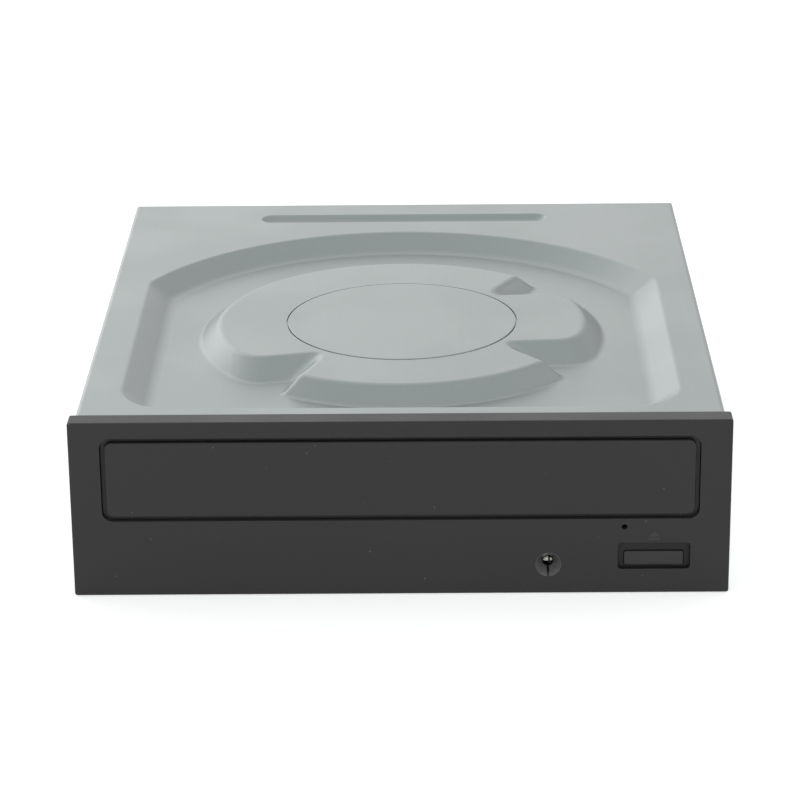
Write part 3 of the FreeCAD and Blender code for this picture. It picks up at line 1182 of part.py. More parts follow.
def make_board_chips():
    y = BOARD_FRONT
    chips = [box(-10, 10, y + 28, y + 48, BOARD_Z1, BOARD_Z1 + 1.4)]
    chips.append(box(-34, -22, y + 18, y + 38, BOARD_Z1, BOARD_Z1 + 1.2))
    chips.append(box(22, 30, y + 14, y + 24, BOARD_Z1, BOARD_Z1 + 1.2))
    chips.append(box(-44, -36, y + 44, y + 54, BOARD_Z1, BOARD_Z1 + 1.2))
    return group(chips)


def make_board_capacitors():
    cans = []
    edge = BOARD_HALF - 4.5
    for x, y in ((-edge, 20), (-edge, 30), (edge, 20), (edge, 30)):
        can = post(x, BOARD_FRONT + y, BOARD_Z1, BOARD_Z1 + 5.4, 2.4)
        cans.append(can.makeFillet(0.4, flat_edges(can, BOARD_Z1 + 5.4)))
    return group(cans)


def make_thermal_pads():
    y = BOARD_FRONT
    large = box(-9, 9, y + 29, y + 47, PAN_FLOOR, BOARD_Z0)
    return group([large, box(-33, -23, y + 20, y + 36, PAN_FLOOR, BOARD_Z0)])


FLEX_HALF = 8.0
FLEX_SOCKET = BOARD_FRONT + 20.0


def make_flex_sockets():
    big = box(-FLEX_HALF - 1.5, FLEX_HALF + 1.5, FLEX_SOCKET, FLEX_SOCKET + 5, BOARD_Z1, BOARD_Z1 + 2.2)
    slot = box(-FLEX_HALF - 0.1, FLEX_HALF + 0.1, FLEX_SOCKET - 1, FLEX_SOCKET + 3,
               BOARD_Z1 + 0.95, BOARD_Z1 + 1.25)
    small = box(BOARD_HALF - 22.5, BOARD_HALF - 10.5, BOARD_FRONT + 3, BOARD_FRONT + 7.5,
                BOARD_Z1, BOARD_Z1 + 2.2)
    return group([big.cut(slot), small])


def make_pickup_flex():
    # Flat cable: out of its socket to the front, up and back under the sled.
    low = BOARD_Z1 + 1.0
    high = SLED_Z0 - 0.2
    turn = BOARD_FRONT + 6.0
    mid = (low + high + 0.2) / 2
    outer = (high + 0.2 - low) / 2
    ring = rod_x(turn, mid, -FLEX_HALF, FLEX_HALF, outer)
    ring = ring.cut(rod_x(turn, mid, -FLEX_HALF, FLEX_HALF, outer - 0.2))
    bend = ring.common(box(-FLEX_HALF, FLEX_HALF, turn - 20, turn, low - 1, high + 2))
    down = box(-FLEX_HALF, FLEX_HALF, turn, FLEX_SOCKET + 2.8, low, low + 0.2)
    up = box(-FLEX_HALF, FLEX_HALF, turn, SLED_FRONT + 12, high, high + 0.2)
    return bend.fuse([down, up]).removeSplitter()


# Rear connector
SATA_PORTS = ((1.9, 14.6, 10.4), (18.2, 22.7, 19.6))
CONTACT_PITCH = 1.27


def make_sata_connector():
    y0 = BODY_BACK - 10.5
    y1 = BODY_BACK - 0.3
    z1 = SATA_Z0 + SATA_HEIGHT
    body = box(SATA_X0, SATA_X0 + SATA_WIDTH, y0, y1, SATA_Z0, z1)
    body = body.makeFillet(0.5, edges_along(body, V(0, 1, 0)))
    cuts = []
    adds = []
    for start, width, blade in SATA_PORTS:
        x0 = SATA_X0 + start
        mid = x0 + width / 2
        cuts.append(box(x0, x0 + width, y1 - 7.0, y1 + 1, SATA_Z0 + 1.2, z1 - 1.2))
        adds.append(box(mid - blade / 2, mid + blade / 2, y1 - 7.5, y1 - 0.6, SATA_Z0 + 3.2, SATA_Z0 + 4.4))
        adds.append(box(mid + blade / 2 - 1.2, mid + blade / 2, y1 - 7.5, y1 - 0.6,
                        SATA_Z0 + 2.1, SATA_Z0 + 3.4))
    return body.cut(cuts).fuse(adds).removeSplitter()


def make_sata_contacts():
    y1 = BODY_BACK - 0.3
    strips = []
    for start, width, blade in SATA_PORTS:
        mid = SATA_X0 + start + width / 2
        count = round((blade - 0.9) / CONTACT_PITCH)
        for k in range(count):
            x = mid + (k - (count - 1) / 2) * CONTACT_PITCH
            strips.append(box(x - 0.4, x + 0.4, y1 - 6.9, y1 - 1.2, SATA_Z0 + 4.4, SATA_Z0 + 4.55))
    return group(strips)


NODES = {
    "top_cover": make_top_cover,
    "clamp_cap": make_clamp_cap,
    "bottom_cover": make_bottom_cover,
    "case_screws": make_case_screws,
    "front_bezel": make_front_bezel,
    "front_board": make_front_board,
    "eject_switch": make_eject_switch,
    "activity_led": make_activity_led,
    "led_leads": make_led_leads,
    "main_chassis": make_main_chassis,
    "loading_motor": make_loading_motor,
    "motor_screws": make_motor_screws,
    "drive_belt": make_drive_belt,
    "main_board": make_main_board,
    "board_screws": make_board_screws,
    "board_chips": make_board_chips,
    "board_capacitors": make_board_capacitors,
    "thermal_pads": make_thermal_pads,
    "flex_sockets": make_flex_sockets,
    "pickup_flex": make_pickup_flex,
    "sata_connector": make_sata_connector,
    "sata_contacts": make_sata_contacts,
    "disc_tray": make_disc_tray,
    "tray_door": make_tray_door,
    "eject_button": make_eject_button,
    "switch_plunger": make_switch_plunger,
    "tray_gear": make_tray_gear,
    "pulley_gear": make_pulley_gear,
    "motor_pulley": make_motor_pulley,
    "motor_shaft": make_motor_shaft,
    "cam_slider": make_cam_slider,
    "lift_frame": make_lift_frame,
    "damper_grommets": make_damper_grommets,
    "damper_screws": make_damper_screws,
    "traverse_plate": make_traverse_plate,
    "spindle_base": make_spindle_base,
    "spindle_stator": make_spindle_stator,
    "spindle_screws": make_spindle_screws,
    "guide_rods": make_guide_rods,
    "rod_holders": make_rod_holders,
    "feed_motor": make_feed_motor,
    "screw_bearing": make_screw_bearing,
    "rotor": make_rotor,
    "turntable": make_turntable,
    "turntable_pad": make_turntable_pad,
    "centering_cone": make_centering_cone,
    "hub_magnet": make_hub_magnet,
    "pickup_sled": make_pickup_sled,
    "pickup_cover": make_pickup_cover,
    "laser_unit": make_laser_unit,
    "feed_rack": make_feed_rack,
    "magnet_yokes": make_magnet_yokes,
    "lens_holder": make_lens_holder,
    "objective_lens": make_objective_lens,
    "lead_screw": make_lead_screw,
    "clamp_puck": make_clamp_puck,
    "clamp_plate": make_clamp_plate,
    "clamp_pad": make_clamp_pad,
}

os.makedirs("parts", exist_ok=True)
for name, make in NODES.items():
    make().exportStep("parts/" + name + ".step")
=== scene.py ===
"""Half-height disc drive: finishes, small pieces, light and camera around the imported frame."""

import json
import math

import bmesh
import bpy
from mathutils import Matrix, Vector


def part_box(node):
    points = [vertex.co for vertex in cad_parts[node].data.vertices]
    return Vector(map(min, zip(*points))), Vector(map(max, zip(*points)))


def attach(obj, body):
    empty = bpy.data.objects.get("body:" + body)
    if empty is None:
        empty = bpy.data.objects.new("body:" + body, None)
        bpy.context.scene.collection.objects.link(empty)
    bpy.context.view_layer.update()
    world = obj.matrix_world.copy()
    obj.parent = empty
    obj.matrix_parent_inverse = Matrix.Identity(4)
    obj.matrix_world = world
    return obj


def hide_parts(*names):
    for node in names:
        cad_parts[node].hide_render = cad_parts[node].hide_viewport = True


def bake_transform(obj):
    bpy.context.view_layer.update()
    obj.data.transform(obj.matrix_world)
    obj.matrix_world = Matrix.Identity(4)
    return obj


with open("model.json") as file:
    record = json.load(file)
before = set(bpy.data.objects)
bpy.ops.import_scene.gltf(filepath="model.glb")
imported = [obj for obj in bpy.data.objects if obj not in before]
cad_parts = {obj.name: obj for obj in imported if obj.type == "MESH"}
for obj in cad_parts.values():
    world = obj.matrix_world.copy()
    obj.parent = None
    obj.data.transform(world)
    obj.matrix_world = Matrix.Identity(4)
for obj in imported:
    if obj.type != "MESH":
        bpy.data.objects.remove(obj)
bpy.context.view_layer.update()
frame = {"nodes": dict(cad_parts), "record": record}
nodes = frame["nodes"]
scene = bpy.context.scene
scene.view_settings.view_transform = "Standard"

MM = 0.001


# Node tools
def put(tree, kind, inputs=None, **settings):
    node = tree.nodes.new(kind)
    for key, value in settings.items():
        setattr(node, key, value)
    for key, value in (inputs or {}).items():
        if isinstance(value, bpy.types.NodeSocket):
            tree.links.new(value, node.inputs[key])
        else:
            node.inputs[key].default_value = value
    return node


def maths(tree, how, first, second=0.0, third=0.0, clamp=False):
    inputs = {0: first, 1: second, 2: third}
    return put(tree, "ShaderNodeMath", inputs, operation=how, use_clamp=clamp).outputs[0]


def spread(tree, value, low, high, out_low=0.0, out_high=1.0):
    inputs = {"Value": value, "From Min": low, "From Max": high, "To Min": out_low, "To Max": out_high}
    return put(tree, "ShaderNodeMapRange", inputs, interpolation_type="SMOOTHSTEP").outputs["Result"]


def place_on_piece(tree, stretch=(1, 1, 1)):
    spot = put(tree, "ShaderNodeTexCoord").outputs["Object"]
    return put(tree, "ShaderNodeVectorMath", {0: spot, 1: stretch}, operation="MULTIPLY").outputs["Vector"]


def noise(tree, spot, scale, detail=2.0, rough=0.5):
    inputs = {"Vector": spot, "Scale": scale, "Detail": detail, "Roughness": rough}
    return put(tree, "ShaderNodeTexNoise", inputs).outputs["Fac"]


def background_rays(tree, with_gloss):
    # 1 for the rays that show the white background: from the camera, through glass and by gloss.
    path = put(tree, "ShaderNodeLightPath").outputs
    rays = maths(tree, "ADD", path["Is Camera Ray"], path["Is Transmission Ray"], clamp=True)
    if with_gloss:
        rays = maths(tree, "ADD", rays, path["Is Glossy Ray"], clamp=True)
    return rays


def new_effect(name, inputs, outputs):
    tree = bpy.data.node_groups.new(name, "ShaderNodeTree")
    for label, value in inputs:
        socket = tree.interface.new_socket(name=label, in_out="INPUT", socket_type="NodeSocketFloat")
        socket.default_value = value
    for label in outputs:
        tree.interface.new_socket(name=label, in_out="OUTPUT", socket_type="NodeSocketFloat")
    given = tree.nodes.new("NodeGroupInput")
    result = tree.nodes.new("NodeGroupOutput")
    return tree, given.outputs, result.inputs


# Effects, each a node group that finishes place with their own values
def make_moulded_grain():
    # Spark-eroded mould texture: fine pits, and a slow drift of tone.
    tree, given, result = new_effect("moulded_grain", [("Grain", 5000.0), ("Drift", 35.0)],
                                     ["Height", "Tone"])
    spot = place_on_piece(tree)
    fine = noise(tree, spot, given["Grain"], 2.5, 0.6)
    coarse = noise(tree, spot, maths(tree, "MULTIPLY", given["Grain"], 0.22), 2.0)
    slow = noise(tree, spot, given["Drift"], 3.0)
    height = maths(tree, "ADD", maths(tree, "MULTIPLY", fine, 0.7), maths(tree, "MULTIPLY", coarse, 0.3))
    tone = maths(tree, "ADD", maths(tree, "MULTIPLY", slow, 0.65), maths(tree, "MULTIPLY", coarse, 0.35))
    tree.links.new(height, result["Height"])
    tree.links.new(spread(tree, tone, 0.3, 0.7), result["Tone"])
    return tree


def make_rolled_sheet():
    # Zinc-coated sheet: faint rolling lines, a fine speckle and slow clouding.
    tree, given, result = new_effect("rolled_sheet", [("Speckle", 2600.0), ("Lines", 900.0)],
                                     ["Tone", "Clouds", "Height"])
    spot = place_on_piece(tree)
    along = place_on_piece(tree, (1, 0.02, 1))
    lines = noise(tree, along, given["Lines"], 3.0, 0.6)
    speckle = noise(tree, spot, given["Speckle"], 2.0, 0.6)
    clouds = noise(tree, spot, 28.0, 4.0, 0.55)
    tone = maths(tree, "ADD", maths(tree, "MULTIPLY", lines, 0.25), maths(tree, "MULTIPLY", speckle, 0.75))
    tree.links.new(spread(tree, tone, 0.3, 0.7), result["Tone"])
    tree.links.new(spread(tree, clouds, 0.3, 0.7), result["Clouds"])
    tree.links.new(speckle, result["Height"])
    return tree


def make_dust_specks():
    # A few pale specks, one in some cells only, smaller than the cell.
    tree, given, result = new_effect("dust_specks", [("Cells", 260.0), ("Share", 0.1), ("Size", 0.06)],
                                     ["Mask"])
    spot = place_on_piece(tree)
    cell = put(tree, "ShaderNodeTexVoronoi", {"Vector": spot, "Scale": given["Cells"]})
    chance = put(tree, "ShaderNodeSeparateColor", {"Color": cell.outputs["Color"]}).outputs["Red"]
    chosen = maths(tree, "LESS_THAN", chance, given["Share"])
    edge = maths(tree, "DIVIDE", cell.outputs["Distance"], given["Size"])
    dot = maths(tree, "SUBTRACT", 1.0, edge, clamp=True)
    tree.links.new(maths(tree, "MULTIPLY", dot, chosen), result["Mask"])
    return tree


def make_edge_wear_and_highlight():
    # Where the surface turns within a small radius: edges rubbed pale by handling, and a painted highlight
    # along them.
    tree, given, result = new_effect("edge_wear_and_highlight", [("Radius", 0.0004), ("Patches", 300.0)], ["Mask"])
    soft = put(tree, "ShaderNodeBevel", {"Radius": given["Radius"]}, samples=4).outputs["Normal"]
    sharp = put(tree, "ShaderNodeNewGeometry").outputs["Normal"]
    same = put(tree, "ShaderNodeVectorMath", {0: soft, 1: sharp}, operation="DOT_PRODUCT").outputs["Value"]
    turn = spread(tree, maths(tree, "SUBTRACT", 1.0, same), 0.01, 0.12)
    patches = spread(tree, noise(tree, place_on_piece(tree), given["Patches"], 3.0), 0.35, 0.65)
    tree.links.new(maths(tree, "MULTIPLY", turn, patches), result["Mask"])
    return tree


def make_wound_wire():
    # Round wires side by side across one direction.
    tree, given, result = new_effect("wound_wire", [("Across", 2600.0)], ["Height"])
    spot = put(tree, "ShaderNodeSeparateXYZ", {"Vector": place_on_piece(tree)}).outputs["Z"]
    wave = maths(tree, "SINE", maths(tree, "MULTIPLY", spot, given["Across"]))
    tree.links.new(maths(tree, "MULTIPLY", wave, 0.5), result["Height"])
    return tree


def make_board_tracks():
    # Copper tracks under the green lacquer, with pads at some crossings.
    tree, given, result = new_effect("board_tracks", [("Pitch", 900.0)], ["Tracks", "Pads"])
    spot = place_on_piece(tree)
    bend = noise(tree, spot, 60.0, 1.0)
    split = put(tree, "ShaderNodeSeparateXYZ", {"Vector": spot})
    core, rim = 0.16, 0.2
    lines = []
    for axis in ("X", "Y"):
        wave = maths(tree, "FRACT", maths(tree, "MULTIPLY", split.outputs[axis], given["Pitch"]))
        near = maths(tree, "ABSOLUTE", maths(tree, "SUBTRACT", wave, 0.5))
        lines.append(spread(tree, near, core, rim, 1.0, 0.0))
    chosen = spread(tree, bend, 0.46, 0.5)
    along_y = maths(tree, "MULTIPLY", lines[0], chosen)
    along_x = maths(tree, "MULTIPLY", lines[1], maths(tree, "SUBTRACT", 1.0, chosen))
    tree.links.new(maths(tree, "ADD", along_y, along_x, clamp=True), result["Tracks"])
    pad_scale = maths(tree, "MULTIPLY", given["Pitch"], 0.35)
    cell = put(tree, "ShaderNodeTexVoronoi", {"Vector": spot, "Scale": pad_scale})
    tree.links.new(spread(tree, cell.outputs["Distance"], core, rim, 1.0, 0.0), result["Pads"])
    return tree


GRAIN = make_moulded_grain()
SHEET = make_rolled_sheet()
DUST = make_dust_specks()
EDGES = make_edge_wear_and_highlight()
WIRES = make_wound_wire()
TRACKS = make_board_tracks()


def effect(tree, group, **values):
    node = tree.nodes.new("ShaderNodeGroup")
    node.node_tree = group
    for key, value in values.items():
        node.inputs[key].default_value = value
    return node.outputs


def blend_colours(tree, share, first, second):
    # Sockets 0, 6 and 7 of the mix are the share and the two colours, and output 2 is the colour.
    node = tree.nodes.new("ShaderNodeMix")
    node.data_type = "RGBA"
    node.clamp_factor = True
    for socket, value in ((node.inputs[0], share), (node.inputs[6], first), (node.inputs[7], second)):
        if isinstance(value, bpy.types.NodeSocket):
            tree.links.new(value, socket)
        else:
            socket.default_value = value if isinstance(value, float) else (*value, 1.0)
    return node.outputs[2]


def new_finish(name, **fixed):
    finish = bpy.data.materials.new(name)
    finish.use_nodes = True
    tree = finish.node_tree
    shader = tree.nodes["Principled BSDF"]
    for key, value in fixed.items():
        shader.inputs[key.replace("_", " ")].default_value = value
    return finish, tree, shader.inputs


def connect(tree, shader, colour, roughness):
    tree.links.new(colour, shader["Base Color"])
    tree.links.new(roughness, shader["Roughness"])


def bump(tree, shader, height, depth, strength):
    node = put(tree, "ShaderNodeBump", {"Height": height, "Distance": depth, "Strength": strength})
    tree.links.new(node.outputs["Normal"], shader["Normal"])


def inside_box(tree, low, high):
    # 1 inside the box with these corners, 0 outside.
    split = put(tree, "ShaderNodeSeparateXYZ", {"Vector": place_on_piece(tree)})
    share = 1.0
    for axis, a, b in zip("XYZ", low, high):
        from_middle = maths(tree, "ABSOLUTE", maths(tree, "SUBTRACT", split.outputs[axis], (a + b) / 2))
        share = maths(tree, "MULTIPLY", share, maths(tree, "LESS_THAN", from_middle, (b - a) / 2))
    return share


# Finishes
# Pale grey of the dust specks, and of the painted sheen on faces that look up.
DUST_AND_SHEEN_COLOUR = (0.32, 0.32, 0.31)


def sheet_metal(name, dark, pale, rough, clouding, lines=900.0):
    finish, tree, shader = new_finish(name, Metallic=1.0)
    sheet = effect(tree, SHEET, Speckle=2600.0, Lines=lines)
    fine = maths(tree, "MULTIPLY", sheet["Tone"], 0.6)
    slow = maths(tree, "MULTIPLY", sheet["Clouds"], 0.4)
    colour = blend_colours(tree, maths(tree, "ADD", fine, slow), dark, pale)
    # Edges lighter where the surface turns: rubbed wear, and a painted highlight.
    wear_and_highlight = maths(tree, "MULTIPLY", effect(tree, EDGES, Radius=0.0005, Patches=220.0)["Mask"], 0.3)
    wear_and_highlight_colour = tuple(min(1.0, c * 1.35) for c in pale)
    roughness = spread(tree, sheet["Clouds"], 0.0, 1.0, rough - clouding, rough + clouding)
    connect(tree, shader, blend_colours(tree, wear_and_highlight, colour, wear_and_highlight_colour), roughness)
    bump(tree, shader, sheet["Height"], 0.000012, 0.5)
    return finish


def moulded_plastic(name, dark, pale, rough, grain=5000.0, depth=0.00003, dust=0.0, film=0.0, rub_and_highlight=0.25,
                    pocket=None, **fixed):
    # film is the share of a pale film on faces that look up: dust, and painted sheen for the light those
    # faces catch. The box for the recess round the button, low and high corner, is where the colour is
    # darkened as painted shade, and where the mould was left rough, without sheen.
    finish, tree, shader = new_finish(name, **fixed)
    skin = effect(tree, GRAIN, Grain=grain, Drift=40.0)
    colour = blend_colours(tree, skin["Tone"], dark, pale)
    # Edges lighter where the surface turns, by the share given: rubbed wear, and a painted highlight.
    wear_and_highlight = maths(tree, "MULTIPLY", effect(tree, EDGES, Radius=0.0004, Patches=350.0)["Mask"], rub_and_highlight)
    colour = blend_colours(tree, wear_and_highlight, colour, tuple(min(1.0, c * 1.8 + 0.01) for c in pale))
    if dust:
        specks = effect(tree, DUST, Cells=230.0, Share=0.75, Size=0.05)["Mask"]
        colour = blend_colours(tree, maths(tree, "MULTIPLY", specks, dust), colour, DUST_AND_SHEEN_COLOUR)
    # Pale film on faces that look up: dust, and painted sheen for the light those faces catch.
    if film:
        way = put(tree, "ShaderNodeNewGeometry").outputs["Normal"]
        upward = put(tree, "ShaderNodeSeparateXYZ", {"Vector": way}).outputs["Z"]
        top_dust_and_sheen = maths(tree, "MULTIPLY", spread(tree, upward, 0.3, 0.9), film)
        colour = blend_colours(tree, top_dust_and_sheen, colour, DUST_AND_SHEEN_COLOUR)
    roughness = spread(tree, skin["Tone"], 0.0, 1.0, rough - 0.04, rough + 0.04)
    # Painted shade: the colour in the recess round the button is darkened, and the roughness raised.
    if pocket:
        inside = inside_box(tree, *pocket)
        colour = blend_colours(tree, inside, colour, tuple(0.55 * c for c in dark))
        roughness = maths(tree, "MULTIPLY_ADD", inside, 0.15, roughness)
    connect(tree, shader, colour, roughness)
    bump(tree, shader, skin["Height"], depth, 0.8)
    return finish


def plain_metal(name, dark, pale, rough, grain=1800.0):
    finish, tree, shader = new_finish(name, Metallic=1.0)
    skin = effect(tree, GRAIN, Grain=grain, Drift=90.0)
    colour = blend_colours(tree, skin["Tone"], dark, pale)
    connect(tree, shader, colour, spread(tree, skin["Tone"], 0.0, 1.0, rough + 0.06, rough - 0.05))
    bump(tree, shader, skin["Height"], 0.00001, 0.4)
    return finish


def lacquered_board():
    finish, tree, shader = new_finish("board_green", Coat_Weight=0.6, Coat_Roughness=0.18)
    tracks = effect(tree, TRACKS, Pitch=900.0)
    skin = effect(tree, GRAIN, Grain=2400.0, Drift=60.0)
    lacquer = blend_colours(tree, skin["Tone"], (0.010, 0.085, 0.030), (0.014, 0.110, 0.040))
    colour = blend_colours(tree, tracks["Tracks"], lacquer, (0.030, 0.170, 0.060))
    colour = blend_colours(tree, maths(tree, "MULTIPLY", tracks["Pads"], 0.55), colour, (0.52, 0.48, 0.36))
    connect(tree, shader, colour, spread(tree, skin["Tone"], 0.0, 1.0, 0.34, 0.44))
    bump(tree, shader, tracks["Tracks"], 0.00003, 0.6)
    return finish


def flat_cable():
    finish, tree, shader = new_finish("flex_film", Coat_Weight=0.4, Coat_Roughness=0.2)
    spot = put(tree, "ShaderNodeSeparateXYZ", {"Vector": place_on_piece(tree)}).outputs["X"]
    lane = maths(tree, "FRACT", maths(tree, "DIVIDE", spot, 1.0 * MM))
    track = spread(tree, maths(tree, "ABSOLUTE", maths(tree, "SUBTRACT", lane, 0.5)), 0.22, 0.3, 1.0, 0.0)
    skin = effect(tree, GRAIN, Grain=1500.0, Drift=80.0)
    film = blend_colours(tree, skin["Tone"], (0.42, 0.17, 0.03), (0.50, 0.21, 0.045))
    colour = blend_colours(tree, track, film, (0.62, 0.31, 0.10))
    connect(tree, shader, colour, spread(tree, skin["Tone"], 0.0, 1.0, 0.3, 0.42))
    bump(tree, shader, track, 0.00002, 0.6)
    return finish


def coil_winding():
    finish, tree, shader = new_finish("coil_copper", Metallic=1.0)
    skin = effect(tree, GRAIN, Grain=1600.0, Drift=200.0)
    colour = blend_colours(tree, skin["Tone"], (0.52, 0.20, 0.08), (0.72, 0.33, 0.15))
    connect(tree, shader, colour, spread(tree, skin["Tone"], 0.0, 1.0, 0.28, 0.4))
    bump(tree, shader, effect(tree, WIRES, Across=20000.0)["Height"], 0.00008, 0.9)
    return finish


def clear_resin(name, tint, rough, ior):
    finish, tree, shader = new_finish(name, Transmission_Weight=1.0, IOR=ior)
    skin = effect(tree, GRAIN, Grain=900.0, Drift=120.0)
    colour = blend_colours(tree, skin["Tone"], tint, tuple(0.9 * c + 0.1 for c in tint))
    connect(tree, shader, colour, spread(tree, skin["Tone"], 0.0, 1.0, rough, rough + 0.04))
    return finish


BEZEL_TONES = (0.0106, 0.0097, 0.0096), (0.0152, 0.0141, 0.0140)
BEZEL_GLOSS = 0.43


def bezel_plastic(name, **more):
    # The edges are lightened at a share of 0.6, mostly as a painted highlight.
    return moulded_plastic(name, *BEZEL_TONES, 0.46, dust=0.4, rub_and_highlight=0.6,
                           Specular_IOR_Level=BEZEL_GLOSS, **more)


FINISHES = {
    "cover_steel": sheet_metal("cover_steel", (0.358, 0.381, 0.380), (0.388, 0.411, 0.409), 0.40, 0.03),
    "cap_steel": sheet_metal("cap_steel", (0.360, 0.383, 0.382), (0.390, 0.413, 0.411), 0.40, 0.03,
                             lines=700.0),
    "pan_steel": sheet_metal("pan_steel", (0.360, 0.380, 0.379), (0.420, 0.440, 0.437), 0.38, 0.06),
    "screw_steel": plain_metal("screw_steel", (0.30, 0.30, 0.31), (0.46, 0.46, 0.46), 0.30),
    "bezel_plastic": bezel_plastic("bezel_plastic"),
    "tray_plastic": moulded_plastic("tray_plastic", (0.014, 0.014, 0.015), (0.021, 0.021, 0.022), 0.46,
                                    grain=3600.0),
    "chassis_plastic": moulded_plastic("chassis_plastic", (0.022, 0.022, 0.023), (0.035, 0.035, 0.036), 0.50,
                                       grain=2600.0),
    "dark_plastic": moulded_plastic("dark_plastic", (0.012, 0.012, 0.013), (0.020, 0.020, 0.021), 0.40,
                                    grain=3000.0),
    "ivory_plastic": moulded_plastic("ivory_plastic", (0.60, 0.56, 0.46), (0.68, 0.64, 0.54), 0.42,
                                     grain=2600.0),
    "gear_plastic": moulded_plastic("gear_plastic", (0.64, 0.64, 0.61), (0.74, 0.73, 0.70), 0.38,
                                    grain=2200.0, Subsurface_Weight=0.15, Subsurface_Scale=0.001),
    "black_rubber": moulded_plastic("black_rubber", (0.010, 0.010, 0.010), (0.018, 0.018, 0.018), 0.72,
                                    grain=3200.0),
    "pad_rubber": moulded_plastic("pad_rubber", (0.045, 0.046, 0.048), (0.070, 0.071, 0.074), 0.78,
                                  grain=2600.0),
    "tinned_metal": plain_metal("tinned_metal", (0.52, 0.51, 0.48), (0.70, 0.69, 0.66), 0.30),
    "motor_steel": plain_metal("motor_steel", (0.40, 0.40, 0.40), (0.52, 0.52, 0.51), 0.33),
    "can_aluminium": plain_metal("can_aluminium", (0.62, 0.63, 0.64), (0.74, 0.75, 0.76), 0.32),
    "cast_alloy": plain_metal("cast_alloy", (0.34, 0.34, 0.35), (0.46, 0.46, 0.46), 0.46, grain=900.0),
    "contact_gold": plain_metal("contact_gold", (0.68, 0.45, 0.16), (0.86, 0.62, 0.26), 0.25),
    "coil_copper": coil_winding(),
    "board_green": lacquered_board(),
    "flex_film": flat_cable(),
    "led_clear": clear_resin("led_clear", (0.93, 0.92, 0.86), 0.04, 1.5),
    "lens_glass": clear_resin("lens_glass", (0.80, 0.86, 0.95), 0.01, 1.55),
}


# The collar's pale grey is painted light: it stands in for the light that the cone round the lamp catches
# from above and in front.
COLLAR_PAINTED_LIGHT_FINISH = moulded_plastic("lamp_collar", (0.095, 0.095, 0.092), (0.120, 0.120, 0.117), 0.26,
                                grain=1500.0, depth=0.000004, rub_and_highlight=0.1, Coat_Weight=0.5, Coat_Roughness=0.1)


def bezel_with_pocket():
    # The same plastic as the door, with a pale film on the faces that look up, partly dust and partly
    # painted sheen, and in the recess round the button a darker colour that is painted shade, and a rougher
    # surface.
    low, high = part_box("eject_button")
    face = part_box("front_bezel")[0].y
    beside, below, above = 0.9 * MM, 0.5 * MM, 1.6 * MM
    mouth, bottom = 0.1 * MM, 1.6 * MM
    pocket = (Vector((low.x - beside, face + mouth, low.z - below)),
              Vector((high.x + beside, face + bottom, high.z + above)))
    return bezel_plastic("bezel_face", film=0.1, pocket=pocket)


BEZEL_FINISH = bezel_with_pocket()
# The button's edges are lightened at full share, mostly as a painted highlight.
BUTTON_FINISH = moulded_plastic("button_cap", (0.0126, 0.0116, 0.0115), (0.0174, 0.0161, 0.0160), 0.44,
                                rub_and_highlight=1.0, Specular_IOR_Level=0.5)
MARK_FINISH = moulded_plastic("open_mark", (0.021, 0.021, 0.021), (0.028, 0.028, 0.028), 0.5, rub_and_highlight=0.0)

for row in frame["record"]["subparts"]:
    mesh = nodes[row["node"]].data
    mesh.materials.clear()
    mesh.materials.append(FINISHES[row["material_slot"]])
nodes["front_bezel"].data.materials[0] = BEZEL_FINISH
nodes["eject_button"].data.materials[0] = BUTTON_FINISH


# Piece tools
def slot_of(node):
    return next(row["material_slot"] for row in frame["record"]["subparts"] if row["node"] == node)


def body_of(node):
    groups = frame["record"]["behaviour"]["bodies"]
    return next(body for body, members in groups.items() if node in members)


def new_piece(name, mesh, slot, finish=None):
    piece = bpy.data.objects.new(name, mesh)
    scene.collection.objects.link(piece)
    mesh.materials.clear()
    mesh.materials.append(finish or FINISHES[slot])
    return piece


def add_piece(name, mesh, slot, body, finish=None):
    piece = new_piece(name, mesh, slot, finish)
    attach(piece, body)
    return piece


def mesh_from(name, form):
    mesh = bpy.data.meshes.new(name)
    bmesh.ops.recalc_face_normals(form, faces=form.faces)
    form.to_mesh(mesh)
    form.free()
    return mesh


def smooth(mesh, degrees):
    for face in mesh.polygons:
        face.use_smooth = True
    mesh.set_sharp_from_angle(angle=math.radians(degrees))


def raise_outline(form, outline, start, way, height, chamfer):
    # A small raised plateau with sloping edges; outline is a list of points on the surface.
    middle = sum(outline, Vector()) / len(outline)
    low = [form.verts.new(p + way * start) for p in outline]
    high = []
    for p in outline:
        inward = (middle - p).normalized() * chamfer
        high.append(form.verts.new(p + way * height + inward))
    form.faces.new(high)
    count = len(outline)
    for k in range(count):
        form.faces.new((low[k], low[(k + 1) % count], high[(k + 1) % count], high[k]))
    form.faces.new(list(reversed(low)))


# Open symbol above the button: a triangle over a bar
def make_open_mark():
    low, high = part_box("eject_button")
    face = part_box("front_bezel")[0].y
    middle_x = (low.x + high.x) / 2
    base = 13.0 * MM
    form = bmesh.new()

    def at(x, z):
        return Vector((middle_x + x * MM, face, base + z * MM))

    out = Vector((0, -1, 0))
    bar = [at(-1.3, 0), at(1.3, 0), at(1.3, 0.5), at(-1.3, 0.5)]
    arrow = [at(-1.3, 0.85), at(1.3, 0.85), at(0, 2.1)]
    sunk, proud, chamfer = -0.02 * MM, 0.03 * MM, 0.04 * MM
    for outline in (bar, arrow):
        raise_outline(form, outline, sunk, out, proud, chamfer)
    add_piece("open_mark", mesh_from("open_mark", form), "bezel_plastic", "case", MARK_FINISH)


make_open_mark()


# Inside the clear lamp: the cup that carries the chip, and the two posts
def add_block(form, low, high):
    verts = bmesh.ops.create_cube(form, size=1.0)["verts"]
    size = Matrix.Diagonal((*(b - a for a, b in zip(low, high)), 1.0))
    move = Matrix.Translation([(a + b) / 2 for a, b in zip(low, high)])
    bmesh.ops.transform(form, matrix=move @ size, verts=verts)


